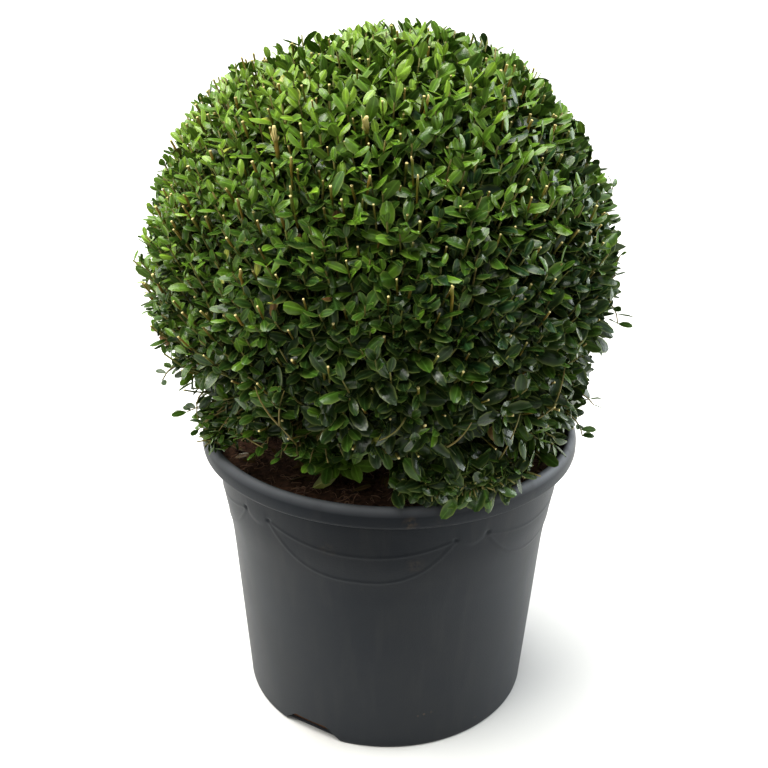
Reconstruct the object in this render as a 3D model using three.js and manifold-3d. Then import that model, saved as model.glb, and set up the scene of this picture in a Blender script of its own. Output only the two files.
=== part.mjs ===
// Box topiary ball in its plastic pot.
// Millimetres, +Z up. The origin is the middle of the pot's underside and the front faces -Y.
// Bearings are degrees round the plant, counted from the front towards +X.
import * as THREE from 'three';
import { mergeVertices } from 'three/addons/utils/BufferGeometryUtils.js';
import Module from 'manifold-3d';

const wasm = await Module();
wasm.setup();

// Pot
const POT_HEIGHT = 254;
const RIM_RADIUS = 160;
const RIM_UNDERSIDE = 237;
const RIM_ROLL_START = 243.5;
const RIM_CREST_RADIUS = 154;
const RIM_INNER_RADIUS = 152.5;
const RIM_ROOT_RADIUS = 150.5;
const RIM_EDGE = 1.2;
const FOOT_RADIUS = 124;
const FOOT_BEVEL = 2.5;
const WALL = 3;
const COLLAR_BOTTOM = 148;
const COLLAR_STEP = 19;
const COLLAR_MIDDLE = 195;
const COLLAR_TOP = 233;
const WALL_HEIGHTS = [FOOT_BEVEL, COLLAR_BOTTOM, COLLAR_BOTTOM + COLLAR_STEP, COLLAR_MIDDLE, COLLAR_TOP];
const WALL_RADII = [126.2, 136.6, 141.2, 144.3, 148.5];
const POT_SIDES = 48;

// Drainage notches through the corner between wall and floor, each with a flat back
const NOTCHES = 3;
const NOTCH_BEARING = -31;
const NOTCH_HEIGHT = 13.5;
const NOTCH_FLOOR_WIDTH = 61;
const NOTCH_TOP_WIDTH = 30;
const NOTCH_BACK = 119;
const NOTCH_DEPTH = 30;

// Festoon moulded on the collar: hanging arcs with a knob between each two
const BAYS = 5;
const BAY_BEARING = -9.8;
const SWAG_HALF_ANGLE = 30;
const SWAG_TOP = 215;
const SWAG_DROP = 38.5;
const SWAG_RADIUS = 1.7;
const KNOB_RADIUS = 4.5;

// Compost and the gap that parts keep from each other
const COMPOST_EDGE = 232;
const COMPOST_MIDDLE = 236;
const GAP = 0.3;

// Ball of foliage
const BALL_CENTRE = new THREE.Vector3(-8, 0, 384);
const BALL_RADIUS = 193;
const CORE_SHARE = 0.88;
const CORE_FOOT_SHARE = 0.94;
const CORE_FOOT_EDGE = 20;
const CORE_DETAIL = 4;
const CORE_LIFT = 5;
const CORE_VAULT = 322;
const SKIRT = 14;
const SKIRT_SHIFT = 0.6;
const UNDERSIDE = 242;
const POCKET_HEIGHT = 44;
const POCKET_SPREAD = 19;
const HOLLOW_HEIGHT = 64;
const HOLLOW_BEARING = -28;
const HOLLOW_SPREAD = 42;

// Stem and boughs
const STEM_FOOT = new THREE.Vector3(3, 4, COMPOST_MIDDLE + GAP);
const STEM_TOP = new THREE.Vector3(-7, 0, 306);
const STEM_RADIUS = 10.5;
const STEM_FLARE = 9;
const STEM_SIDES = 8;
const STEM_STEPS = 5;
const BOUGH_SIDES = 5;
const BOUGH_STEPS = 4;
const MAIN_BOUGHS = 6;
const FIRST_BOUGH_BEARING = 20;
const BOUGH_STARTS = [0.36, 0.58];
const BOUGH_DIP = 46;
const BOUGH_SAG = 5;
const BOUGH_SEAT = 6;

// Low boughs and sprays: bearings and shares of the full reach, then distance from the pot's axis and height
const LOW_BEARINGS = [-64, -21, 22];
const LOW_REACHES = [1, 0.82, 1];
const LOW_SECTOR = 19;
const LOW_BOUGH_START = 0.13;
const LOW_BOUGH_END = [112, 262];
const SPRAY_MIDDLE = [138, 266];
const SPRAY_TIP = [156, 262];
const SPRAY_PAIRS = [0.3, 0.55, 0.8, 1];
const SPRAY_TWIGS = [
  { side: -1, share: 0.15, rise: 0.05 },
  { side: 1, share: 0.2, rise: 0.1 },
  { side: -1, share: 0.55, rise: 0.3 },
  { side: 1, share: 0.6, rise: 0.2 },
];

// Shoots and leaves
const SHOOTS = 162;
const LOWEST_SHOOT = -0.72;
const SHOOT_LENGTH = 34;
const SHOOT_RADIUS = 2.4;
const SHOOT_LEAN = 0.95;
const SHOOT_SCATTER = 0.3;
const TIP_SPREAD = 46;
const LOWER_SPREAD = 70;
const LOWER_PAIR = 0.45;
const LEAF_LENGTH = 40;
const SPRAY_LEAF = 27;
const LEAF_WIDTH_SHARE = 0.58;
const LEAF_THICKNESS_SHARE = 0.08;
const LEAF_SINK = 0.6;
const PAIR_STAGGER = 0.9;
const TWIG_TAPER = 0.75;
const TWIG_END = 2.5;
const LIMB_CLEARANCE = 4;
const POT_CLEARANCE = 3;

const radians = THREE.MathUtils.degToRad;
const UP = new THREE.Vector3(0, 0, 1);
const SLANT = new THREE.Vector3(0.37, 0.61, 0.7);
const GOLDEN_ANGLE = Math.PI * (3 - Math.sqrt(5));

// A repeatable number from 0 to 1 for each count and purpose
function chance(count, purpose) {
  const wave = Math.sin(count * 12.9898 + purpose * 78.233) * 43758.5453;
  return wave - Math.floor(wave);
}

// A level direction at a bearing
function bearingDirection(bearing) {
  return new THREE.Vector3(Math.sin(radians(bearing)), -Math.cos(radians(bearing)), 0);
}

// The bearing of a level direction
function bearingOf(direction) {
  return THREE.MathUtils.radToDeg(Math.atan2(direction.x, -direction.y));
}

// The point at a bearing, a distance from the pot's axis and a height
function placeAt(bearing, distance, height) {
  return bearingDirection(bearing).multiplyScalar(distance).setZ(height);
}

// A closed three.js shape as a solid, turned right side out
function solid(geometry) {
  const bare = geometry.clone();
  bare.deleteAttribute('normal');
  bare.deleteAttribute('uv');
  const merged = mergeVertices(bare, 1e-4);
  const vertProperties = new Float32Array(merged.attributes.position.array);
  const triVerts = new Uint32Array(merged.index.array);
  const corner = [new THREE.Vector3(), new THREE.Vector3(), new THREE.Vector3()];
  let volume = 0;
  for (let first = 0; first < triVerts.length; first += 3) {
    corner.forEach((point, place) => point.fromArray(vertProperties, 3 * triVerts[first + place]));
    volume += corner[0].dot(corner[1].clone().cross(corner[2]));
  }
  if (volume < 0) {
    triVerts.reverse();
  }
  return new wasm.Manifold(new wasm.Mesh({ numProp: 3, vertProperties, triVerts }));
}

// The largest body of a solid, without the loose scraps that a cut leaves
function largestBody(shape) {
  return shape.decompose().reduce((best, next) => (next.volume() > best.volume() ? next : best));
}

// A solid as a named mesh in its own colour
function part(name, shape, colour, roughness) {
  const mesh = shape.getMesh();
  const geometry = new THREE.BufferGeometry();
  geometry.setAttribute('position', new THREE.BufferAttribute(mesh.vertProperties, 3));
  geometry.setIndex(new THREE.BufferAttribute(mesh.triVerts, 1));
  geometry.computeVertexNormals();
  const material = new THREE.MeshStandardMaterial({ color: colour, roughness, metalness: 0 });
  const body = new THREE.Mesh(geometry, material);
  body.name = name;
  return body;
}

// A limb that follows a smooth path, with its radius given along the way from 0 to 1
function limb(path, radiusAt, sides, steps) {
  const curve = new THREE.CatmullRomCurve3(path);
  const geometry = new THREE.CylinderGeometry(1, 1, 1, sides, steps);
  const position = geometry.attributes.position;
  const start = curve.getTangentAt(0);
  const across = new THREE.Vector3().crossVectors(start, SLANT).normalize();
  for (let index = 0; index < position.count; index += 1) {
    const along = THREE.MathUtils.clamp(position.getY(index) + 0.5, 0, 1);
    const heading = curve.getTangentAt(along);
    const right = across.clone().addScaledVector(heading, -across.dot(heading)).normalize();
    const forward = new THREE.Vector3().crossVectors(heading, right);
    const radius = radiusAt(along);
    const place = curve.getPointAt(along);
    place.addScaledVector(right, radius * position.getX(index));
    place.addScaledVector(forward, radius * position.getZ(index));
    position.setXYZ(index, place.x, place.y, place.z);
  }
  return solid(geometry);
}

// Outer radius of the pot's wall below the rim
function wallRadius(height) {
  const heights = [0, ...WALL_HEIGHTS];
  const radii = [FOOT_RADIUS, ...WALL_RADII];
  const above = Math.max(1, heights.findIndex((level) => level >= height));
  const share = (height - heights[above - 1]) / (heights[above] - heights[above - 1]);
  return THREE.MathUtils.lerp(radii[above - 1], radii[above], share);
}

// Inner radius of the pot's wall
function innerRadius(height) {
  return wallRadius(Math.min(height, COLLAR_TOP)) - WALL;
}

// Half section of the pot, from the middle of the underside round to the middle of the floor
function potProfile() {
  const profile = [[0, 0], [FOOT_RADIUS, 0]];
  for (const height of WALL_HEIGHTS) {
    profile.push([wallRadius(height), height]);
  }
  profile.push([RIM_ROOT_RADIUS, RIM_UNDERSIDE]);
  profile.push([RIM_RADIUS - RIM_EDGE, RIM_UNDERSIDE]);
  profile.push([RIM_RADIUS, RIM_UNDERSIDE + RIM_EDGE]);
  const rollWidth = RIM_RADIUS - RIM_CREST_RADIUS;
  const rollHeight = POT_HEIGHT - RIM_ROLL_START;
  for (const turn of [0, 30, 60, 90]) {
    const across = RIM_CREST_RADIUS + rollWidth * Math.cos(radians(turn));
    profile.push([across, RIM_ROLL_START + rollHeight * Math.sin(radians(turn))]);
  }
  profile.push([RIM_INNER_RADIUS, POT_HEIGHT - RIM_EDGE]);
  profile.push([RIM_INNER_RADIUS - RIM_EDGE, POT_HEIGHT - 8]);
  for (const height of [COLLAR_TOP, COLLAR_MIDDLE, COLLAR_BOTTOM, WALL]) {
    profile.push([innerRadius(height), height]);
  }
  profile.push([0, WALL]);
  return profile.map(([across, height]) => new THREE.Vector2(across, height));
}

// A lathed solid with its axis upright
function turned(profile, sides) {
  const geometry = new THREE.LatheGeometry(profile, sides);
  geometry.rotateX(Math.PI / 2);
  return solid(geometry);
}

// The wedge that opens one drainage notch, with its flat back at a distance from the pot's axis
function notchCutter(index, back) {
  const floorHalf = NOTCH_FLOOR_WIDTH / 2;
  const topHalf = NOTCH_TOP_WIDTH / 2;
  const outline = new THREE.Shape();
  outline.moveTo(-floorHalf, 0);
  outline.lineTo(-floorHalf, -5);
  outline.lineTo(floorHalf, -5);
  outline.lineTo(floorHalf, 0);
  outline.lineTo(topHalf, NOTCH_HEIGHT);
  outline.lineTo(-topHalf, NOTCH_HEIGHT);
  const geometry = new THREE.ExtrudeGeometry(outline, { depth: NOTCH_DEPTH, bevelEnabled: false });
  geometry.rotateX(Math.PI / 2);
  geometry.translate(0, -back, 0);
  geometry.rotateZ(radians(NOTCH_BEARING + (index * 360) / NOTCHES));
  return solid(geometry);
}

// One hanging arc of the festoon, a low bead that lies on the collar
function swag(bay) {
  const middle = BAY_BEARING + (bay * 360) / BAYS;
  const path = [];
  for (const share of [-1, -0.6, -0.2, 0.2, 0.6, 1]) {
    const height = SWAG_TOP - SWAG_DROP * (1 - Math.abs(share) ** 3);
    path.push(placeAt(middle + share * SWAG_HALF_ANGLE, wallRadius(height), height));
  }
  return limb(path, () => SWAG_RADIUS, 3, 6);
}

// The flat knob that two arcs hang from
function knob(bay) {
  const geometry = new THREE.IcosahedronGeometry(KNOB_RADIUS, 0);
  geometry.scale(1.6, 0.5, 0.7);
  geometry.translate(0, -wallRadius(SWAG_TOP), SWAG_TOP);
  geometry.rotateZ(radians(BAY_BEARING + ((bay + 0.5) * 360) / BAYS));
  return solid(geometry);
}

function makePot() {
  let pot = turned(potProfile(), POT_SIDES);
  for (let index = 0; index < NOTCHES; index += 1) {
    pot = pot.subtract(notchCutter(index, NOTCH_BACK));
  }
  for (let bay = 0; bay < BAYS; bay += 1) {
    pot = pot.add(swag(bay)).add(knob(bay));
  }
  return pot;
}

// The compost fills the pot, clear of its wall and floor, and is a little higher in the middle
function makeCompost() {
  const floor = WALL + GAP;
  const profile = [
    [0, floor],
    [innerRadius(floor) - 2 * GAP, floor],
    [innerRadius(COLLAR_BOTTOM) - 2 * GAP, COLLAR_BOTTOM],
    [innerRadius(COLLAR_MIDDLE) - 2 * GAP, COLLAR_MIDDLE],
    [innerRadius(COMPOST_EDGE) - 2 * GAP, COMPOST_EDGE],
    [60, COMPOST_MIDDLE],
    [0, COMPOST_MIDDLE],
  ];
  let compost = turned(profile.map(([across, height]) => new THREE.Vector2(across, height)), POT_SIDES);
  for (let index = 0; index < NOTCHES; index += 1) {
    compost = compost.subtract(notchCutter(index, NOTCH_BACK - GAP));
  }
  return compost;
}

// Places where the sheared surface stands proud or dips: direction, height and spread
const LUMPS = [
  [new THREE.Vector3(0.42, 0.37, 0.83), 7, 0.05],
  [new THREE.Vector3(-0.17, 0.41, 0.9), -6, 0.04],
  [new THREE.Vector3(-0.64, 0.32, 0.7), 3, 0.05],
  [new THREE.Vector3(-0.94, -0.14, -0.31), -6, 0.06],
  [new THREE.Vector3(0.97, -0.11, -0.24), -4, 0.05],
];

// The turn from one bearing to another, from -180 to 180
function turnBetween(from, to) {
  return ((to - from + 540) % 360) - 180;
}

// A smooth flat-topped bump from 0 to 1 round a bearing
function bump(middle, spread, bearing) {
  return Math.exp(-((turnBetween(middle, bearing) / spread) ** 4));
}

// How far the ball's foot spreads to nest in the pot's mouth, except over the hollow
function skirt(direction) {
  const nested = 1 - bump(HOLLOW_BEARING, HOLLOW_SPREAD, bearingOf(direction));
  const towardsPot = 1 + SKIRT_SHIFT * direction.x;
  return SKIRT * towardsPot * nested * THREE.MathUtils.smoothstep(-direction.z, 0.3, 0.75);
}

// How far the shears left the ball in a direction from its centre
function clipRadius(direction) {
  let radius = BALL_RADIUS + skirt(direction);
  for (const [place, height, spread] of LUMPS) {
    radius += height * Math.exp((direction.dot(place) - 1) / spread);
  }
  return radius;
}

// Height of the ball's underside at a bearing, raised in the hollow and over the low sprays
function undersideHeight(bearing) {
  const hollow = HOLLOW_HEIGHT * bump(HOLLOW_BEARING, HOLLOW_SPREAD, bearing);
  const pockets = LOW_BEARINGS.map((middle) => POCKET_HEIGHT * bump(middle, POCKET_SPREAD, bearing));
  return UNDERSIDE + Math.max(hollow, ...pockets);
}

// How far a point stands inside the ball's space, negative outside
function depthInBall(point) {
  const offset = point.clone().sub(BALL_CENTRE);
  const inside = clipRadius(offset.clone().normalize()) - offset.length();
  return Math.min(inside, point.z - undersideHeight(bearingOf(offset)));
}

// How far the ball's dense middle reaches: round, flattened underneath and vaulted over the stem
function coreRadius(direction) {
  const edge = undersideHeight(bearingOf(direction)) + CORE_LIFT;
  const overStem = THREE.MathUtils.smoothstep(-direction.z, 0.64, 0.97);
  const floor = THREE.MathUtils.lerp(edge, CORE_VAULT, overStem);
  const flat = direction.z < 0 ? (BALL_CENTRE.z - floor) / -direction.z : Infinity;
  const aboveFoot = THREE.MathUtils.smoothstep(direction.z, -0.6, -0.2);
  const round = THREE.MathUtils.lerp(CORE_FOOT_SHARE, CORE_SHARE, aboveFoot) * clipRadius(direction);
  return (round ** -CORE_FOOT_EDGE + flat ** -CORE_FOOT_EDGE) ** (-1 / CORE_FOOT_EDGE);
}

// The dense twiggy middle of the ball
function makeCore() {
  const geometry = new THREE.IcosahedronGeometry(1, CORE_DETAIL);
  const position = geometry.attributes.position;
  const direction = new THREE.Vector3();
  for (let index = 0; index < position.count; index += 1) {
    direction.fromBufferAttribute(position, index).normalize();
    const place = direction.clone().multiplyScalar(coreRadius(direction)).add(BALL_CENTRE);
    position.setXYZ(index, place.x, place.y, place.z);
  }
  return solid(geometry);
}

// One leaf of eight faces: where it springs from, its heading, the side its face looks to, its length
function leafSolid(leaf) {
  const reach = leaf.length + LEAF_SINK;
  const geometry = new THREE.OctahedronGeometry(0.5, 0);
  geometry.scale(reach, leaf.length * LEAF_WIDTH_SHARE, leaf.length * LEAF_THICKNESS_SHARE);
  geometry.translate(reach / 2 - LEAF_SINK, 0, 0);
  const face = leaf.face.clone().addScaledVector(leaf.heading, -leaf.face.dot(leaf.heading)).normalize();
  const side = new THREE.Vector3().crossVectors(face, leaf.heading);
  geometry.applyMatrix4(new THREE.Matrix4().makeBasis(leaf.heading, side, face));
  geometry.translate(leaf.base.x, leaf.base.y, leaf.base.z);
  return solid(geometry);
}

// A three-sided twig from its root to its tip, cut just past its last leaves
function twigSolid(root, tip, radius) {
  const span = tip.clone().sub(root);
  const length = span.length() + TWIG_END;
  const geometry = new THREE.CylinderGeometry(radius * TWIG_TAPER, radius, length, 3);
  geometry.translate(0, length / 2, 0);
  const turn = new THREE.Quaternion().setFromUnitVectors(new THREE.Vector3(0, 1, 0), span.normalize());
  geometry.applyQuaternion(turn);
  geometry.translate(root.x, root.y, root.z);
  return solid(geometry);
}

// A pair of opposite leaves at a point on a twig
function leafPair(base, heading, turn, spread, length) {
  const across = new THREE.Vector3().crossVectors(heading, SLANT).normalize();
  across.applyAxisAngle(heading, turn);
  return [1, -1].map((side) => {
    const direction = heading.clone().multiplyScalar(Math.cos(spread));
    direction.addScaledVector(across, side * Math.sin(spread));
    const foot = base.clone().addScaledVector(heading, side * PAIR_STAGGER);
    return { base: foot, heading: direction.normalize(), face: heading, length: length * (1 + 0.03 * side) };
  });
}

// The tip of a leaf
function leafTip(leaf) {
  return leaf.base.clone().addScaledVector(leaf.heading, leaf.length);
}

// The upright lean of a shoot: strong round the middle, fading towards the underside
function upwardLean(direction) {
  return SHOOT_LEAN * THREE.MathUtils.smoothstep(direction.z, -0.75, 0.1);
}

// One clipped shoot of the ball: a twig and two crossed pairs of leaves, pulled in to the sheared surface
function ballShoot(index) {
  const height = 1 - ((1 - LOWEST_SHOOT) * (index + 0.5)) / SHOOTS;
  const level = Math.sqrt(1 - height * height);
  const around = index * GOLDEN_ANGLE;
  const direction = new THREE.Vector3(level * Math.cos(around), level * Math.sin(around), height);
  const heading = direction.clone().addScaledVector(UP, upwardLean(direction));
  heading.x += SHOOT_SCATTER * (chance(index, 1) - 0.5);
  heading.y += SHOOT_SCATTER * (chance(index, 2) - 0.5);
  heading.normalize();
  const turn = chance(index, 3) * Math.PI;
  const tip = BALL_CENTRE.clone().addScaledVector(direction, clipRadius(direction));
  const middle = tip.clone().addScaledVector(heading, -LOWER_PAIR * SHOOT_LENGTH);
  const tipLength = LEAF_LENGTH * (0.85 + 0.2 * chance(index, 4));
  const leaves = [
    ...leafPair(tip, heading, turn, radians(TIP_SPREAD), tipLength),
    ...leafPair(middle, heading, turn + Math.PI / 2, radians(LOWER_SPREAD), LEAF_LENGTH),
  ];
  const excess = Math.max(...leaves.map((leaf) => -depthInBall(leafTip(leaf))));
  const pull = direction.clone().multiplyScalar(-excess);
  leaves.forEach((leaf) => {
    leaf.base.add(pull);
  });
  tip.add(pull);
  const root = tip.clone().addScaledVector(heading, -SHOOT_LENGTH);
  return { root, tip, leaves };
}

// Limbs as rows of points with a radius, for keeping leaves clear of them
const limbPoints = [];

function noteLimb(path, radiusAt) {
  const curve = new THREE.CatmullRomCurve3(path);
  for (let step = 0; step <= 24; step += 1) {
    limbPoints.push({ point: curve.getPointAt(step / 24), radius: radiusAt(step / 24) });
  }
}

// Points of a leaf that are tested against its neighbours, as shares of its length along and across
const LEAF_TESTS = [
  [0.25, 0],
  [0.5, 0],
  [0.5, 0.25],
  [0.5, -0.25],
  [0.75, 0.12],
  [0.75, -0.12],
  [1, 0],
];

function leafPoints(leaf) {
  const side = new THREE.Vector3().crossVectors(leaf.face, leaf.heading).normalize();
  return LEAF_TESTS.map(([along, across]) => {
    const point = leaf.base.clone().addScaledVector(leaf.heading, along * leaf.length);
    return point.addScaledVector(side, across * leaf.length);
  });
}

// Whether a leaf keeps clear of every limb
function clearOfLimbs(leaf) {
  return leafPoints(leaf).every((point) =>
    limbPoints.every((limbPoint) => point.distanceTo(limbPoint.point) > limbPoint.radius + LIMB_CLEARANCE));
}

// Path of the main stem, run on past both ends so that they can be cut level
const stemPath = [-0.15, 0.5, 1.15].map((share) => STEM_FOOT.clone().lerp(STEM_TOP, share));
stemPath[1].x += 2;
const stemRadius = (along) => STEM_RADIUS + STEM_FLARE * Math.exp(-6 * along);

// The main stem, cut level at the compost and where it meets the ball
function makeStem() {
  const size = 200;
  const slab = new THREE.BoxGeometry(size, size, STEM_TOP.z - STEM_FOOT.z);
  slab.translate(0, 0, (STEM_TOP.z + STEM_FOOT.z) / 2);
  return limb(stemPath, stemRadius, STEM_SIDES, STEM_STEPS).intersect(solid(slab));
}

// Path of a main bough, from the stem out to the underside of the core
function boughPath(index) {
  const evenBearing = FIRST_BOUGH_BEARING + (index * 360) / MAIN_BOUGHS;
  const bearing = evenBearing + 14 * (chance(index, 11) - 0.5);
  const start = STEM_FOOT.clone().lerp(STEM_TOP, BOUGH_STARTS[index % 2]);
  const dip = radians(BOUGH_DIP + 8 * chance(index, 12));
  const direction = bearingDirection(bearing).multiplyScalar(Math.cos(dip)).setZ(-Math.sin(dip));
  const end = BALL_CENTRE.clone().addScaledVector(direction, coreRadius(direction) - BOUGH_SEAT);
  const middle = start.clone().lerp(end, 0.5);
  middle.z -= BOUGH_SAG;
  return [start, middle, end];
}

// A place on a low bough or spray, turned a little from its bearing and drawn in by its reach
function lowPlace(index, turn, [distance, height]) {
  return placeAt(LOW_BEARINGS[index] + turn, distance * LOW_REACHES[index], height);
}

// Path of a low bough, from the foot of the stem out over the compost
function lowBoughPath(index) {
  const start = STEM_FOOT.clone().lerp(STEM_TOP, LOW_BOUGH_START);
  const end = lowPlace(index, 0, LOW_BOUGH_END);
  const middle = start.clone().lerp(end, 0.5);
  middle.z += 3;
  return [start, middle, end];
}

const boughRadius = (along) => THREE.MathUtils.lerp(5.2, 3.6, along);
const lowBoughRadius = (along) => THREE.MathUtils.lerp(3.4, 2.2, along);

// A limb that springs from the stem, trimmed just clear of it
function trimmedLimb(path, radiusAt) {
  const swollenStem = limb(stemPath, (along) => stemRadius(along) + GAP, STEM_SIDES, STEM_STEPS);
  return largestBody(limb(path, radiusAt, BOUGH_SIDES, BOUGH_STEPS).subtract(swollenStem));
}

// One low spray: a drooping stem that goes on from its low bough, with side twigs and leaf pairs
function makeLowSpray(index) {
  const bearing = LOW_BEARINGS[index];
  const bough = lowBoughPath(index);
  const boughEnd = bough[2];
  const heading = new THREE.CatmullRomCurve3(bough).getTangentAt(1);
  const start = boughEnd.clone().addScaledVector(heading, GAP);
  const stem = [start, lowPlace(index, 0, SPRAY_MIDDLE), lowPlace(index, 4, SPRAY_TIP)];
  const curve = new THREE.CatmullRomCurve3(stem);
  const pieces = [limb(stem, (along) => THREE.MathUtils.lerp(2.2, 1.2, along), 3, 4)];
  const leaves = [];
  for (const share of SPRAY_PAIRS) {
    const base = curve.getPointAt(share);
    const along = curve.getTangentAt(share);
    leaves.push(...leafPair(base, along, 0.4 + (share * 10) % 2, radians(52), SPRAY_LEAF));
  }
  for (const { side, share, rise } of SPRAY_TWIGS) {
    const root = curve.getPointAt(share);
    const out = bearingDirection(bearing + side * 48).addScaledVector(UP, rise).normalize();
    const tip = root.clone().addScaledVector(out, 38 - 20 * share);
    pieces.push(twigSolid(root, tip, 1.7));
    leaves.push(...leafPair(tip, out, 0.5, radians(40), SPRAY_LEAF));
    leaves.push(...leafPair(root.clone().lerp(tip, 0.55), out, 1.9, radians(55), SPRAY_LEAF));
  }
  for (const leaf of leaves) {
    if (clearOfLimbs(leaf) && clearOfPot(leaf) && clearOfBall(leaf) && insideSector(leaf, bearing)) {
      pieces.push(leafSolid(leaf));
    }
  }
  return largestBody(wasm.Manifold.union(pieces));
}

// Whether a point stays above the compost and the rim, or well outside the rim
function aboveOrBesidePot(point) {
  const across = Math.hypot(point.x, point.y);
  const floor = across > RIM_INNER_RADIUS - 2 * POT_CLEARANCE ? POT_HEIGHT : COMPOST_MIDDLE;
  return point.z > floor + POT_CLEARANCE || across > RIM_RADIUS + POT_CLEARANCE;
}

// Whether a leaf keeps clear of the pot and the compost
function clearOfPot(leaf) {
  return leafPoints(leaf).every(aboveOrBesidePot);
}

// Whether a leaf stays in the sector round its low spray's bearing
function insideSector(leaf, bearing) {
  return leafPoints(leaf).every((point) => Math.abs(turnBetween(bearing, bearingOf(point))) < LOW_SECTOR);
}

// Whether a leaf stays below the ball's space
function clearOfBall(leaf) {
  return leafPoints(leaf).every((point) => depthInBall(point) < -3);
}

// The clipped ball: its core, the stub that meets the stem, and the leafy shoots that stand out of it
function makeBall(limbs) {
  const stubFoot = STEM_TOP.clone().addScaledVector(UP, GAP);
  const stub = [stubFoot, stubFoot.clone().addScaledVector(UP, 20), stubFoot.clone().addScaledVector(UP, 40)];
  const pieces = [makeCore(), limb(stub, () => STEM_RADIUS * 0.9, 8, 2)];
  for (let index = 0; index < SHOOTS; index += 1) {
    const shoot = ballShoot(index);
    const leaves = shoot.leaves.filter((leaf) =>
      clearOfLimbs(leaf) && clearOfPot(leaf) && depthInBall(leafTip(leaf)) > -0.5);
    if (leaves.length > 0 && aboveOrBesidePot(shoot.tip)) {
      pieces.push(twigSolid(shoot.root, shoot.tip, SHOOT_RADIUS), ...leaves.map(leafSolid));
    }
  }
  return largestBody(wasm.Manifold.union(pieces).subtract(wasm.Manifold.union(limbs)));
}

const LEAF_GREEN = 0x2f4a22;
const BARK_BROWN = 0x6a5238;
const plant = new THREE.Group();
plant.add(part('pot', makePot(), 0x3b3f42, 0.5));
plant.add(part('compost', makeCompost(), 0x33231b, 0.95));
plant.add(part('main_stem', makeStem(), BARK_BROWN, 0.9));
noteLimb(stemPath, stemRadius);

const swollenLimbs = [];
for (let index = 0; index < MAIN_BOUGHS; index += 1) {
  const path = boughPath(index);
  plant.add(part(`bough_${index + 1}`, trimmedLimb(path, boughRadius), BARK_BROWN, 0.9));
  noteLimb(path, boughRadius);
  swollenLimbs.push(limb(path, (along) => boughRadius(along) + GAP, BOUGH_SIDES, BOUGH_STEPS));
}
for (let index = 0; index < LOW_BEARINGS.length; index += 1) {
  const path = lowBoughPath(index);
  plant.add(part(`low_bough_${index + 1}`, trimmedLimb(path, lowBoughRadius), BARK_BROWN, 0.9));
  plant.add(part(`low_spray_${index + 1}`, makeLowSpray(index), LEAF_GREEN, 0.55));
}
plant.add(part('clipped_ball', makeBall(swollenLimbs), LEAF_GREEN, 0.55));

export default plant;
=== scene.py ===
# %% [markdown]
# # A clipped box ball in its nursery pot
# Box (the shrub) is grown in a plastic pot and sheared to a ball. This lesson dresses the CAD model of
# one with fine detail. The CAD model is loaded as a fixed frame, in metres, with the front towards -Y
# and the middle of the pot's underside at the origin. Every finished piece stands in for the CAD solid
# that holds its place, so it keeps to the same sizes and the same rules of growth.

# %% Load the frame
import math

import bpy
import numpy as np
from mathutils import Matrix, Vector


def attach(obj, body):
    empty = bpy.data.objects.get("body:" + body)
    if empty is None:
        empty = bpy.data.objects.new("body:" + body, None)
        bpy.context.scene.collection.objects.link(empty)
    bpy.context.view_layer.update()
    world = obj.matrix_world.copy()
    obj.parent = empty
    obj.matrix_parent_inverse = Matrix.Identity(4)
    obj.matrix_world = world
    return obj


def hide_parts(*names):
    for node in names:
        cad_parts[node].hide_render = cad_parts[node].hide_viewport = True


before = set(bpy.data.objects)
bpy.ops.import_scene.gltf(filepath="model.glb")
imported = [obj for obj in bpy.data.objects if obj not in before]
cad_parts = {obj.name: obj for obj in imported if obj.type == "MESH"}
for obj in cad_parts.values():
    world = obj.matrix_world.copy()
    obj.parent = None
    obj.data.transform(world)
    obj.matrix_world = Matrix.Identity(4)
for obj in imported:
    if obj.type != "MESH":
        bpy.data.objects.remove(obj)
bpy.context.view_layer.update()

MM = 0.001

# %% [markdown]
# ## Camera
# The picture was taken from a little above the plant, looking down about 24 degrees, with the pot in the
# middle. A camera looks along its own -Z, straight down when unturned, so it is tilted up to that angle,
# after a tiny roll that levels the pot's rim as in the picture.

# %% Camera
EYE = (-0.00512, -0.8691, 0.6767)
LOOK_DOWN = math.radians(24.34)
ROLL = 0.01363
LENS = 52.5
SENSOR = 36.0
tilt = Matrix.Rotation(math.pi / 2 - LOOK_DOWN, 4, "X") @ Matrix.Rotation(ROLL, 4, "Z")
camera_data = bpy.data.cameras.new("camera")
camera_data.lens, camera_data.sensor_width, camera_data.clip_end = LENS, SENSOR, 100.0
camera = bpy.data.objects.new("camera", camera_data)
camera.matrix_world = Matrix.Translation(EYE) @ tilt
bpy.context.scene.collection.objects.link(camera)
bpy.context.scene.camera = camera
print("camera looks down", round(math.degrees(LOOK_DOWN), 1), "degrees")

# %% [markdown]
# ## Helpers
# A few small helpers serve every piece. The first gives repeatable chance numbers by the same rule as
# the CAD source. The others measure bearings and turn arrays into meshes: whole rings of tubes are worked
# out at once with numpy, without a loop over vertices.

# %% Chance and shares
def chance(count, purpose):
    """A repeatable number from 0 to 1: the fraction of a large sine of the count and the purpose."""
    wave = np.sin(np.asarray(count, float) * 12.9898 + purpose * 78.233) * 43758.5453
    return wave - np.floor(wave)


def scatter(count, *purposes):
    """Repeatable offsets from -0.5 to 0.5, each axis with a purpose of its own."""
    return np.stack([chance(count, purpose) - 0.5 for purpose in purposes], axis=-1)


def smoothstep(value, low, high):
    """3s^2 - 2s^3 of the share s of the way from low to high, held between 0 and 1."""
    share = np.clip((value - low) / (high - low), 0.0, 1.0)
    return share * share * (3.0 - 2.0 * share)


def mix(first, second, share):
    """The first value, moved towards the second by a share."""
    return first + (second - first) * share


# %% Directions
UP = np.array([0.0, 0.0, 1.0])
SLANT = np.array([0.37, 0.61, 0.7])


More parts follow.
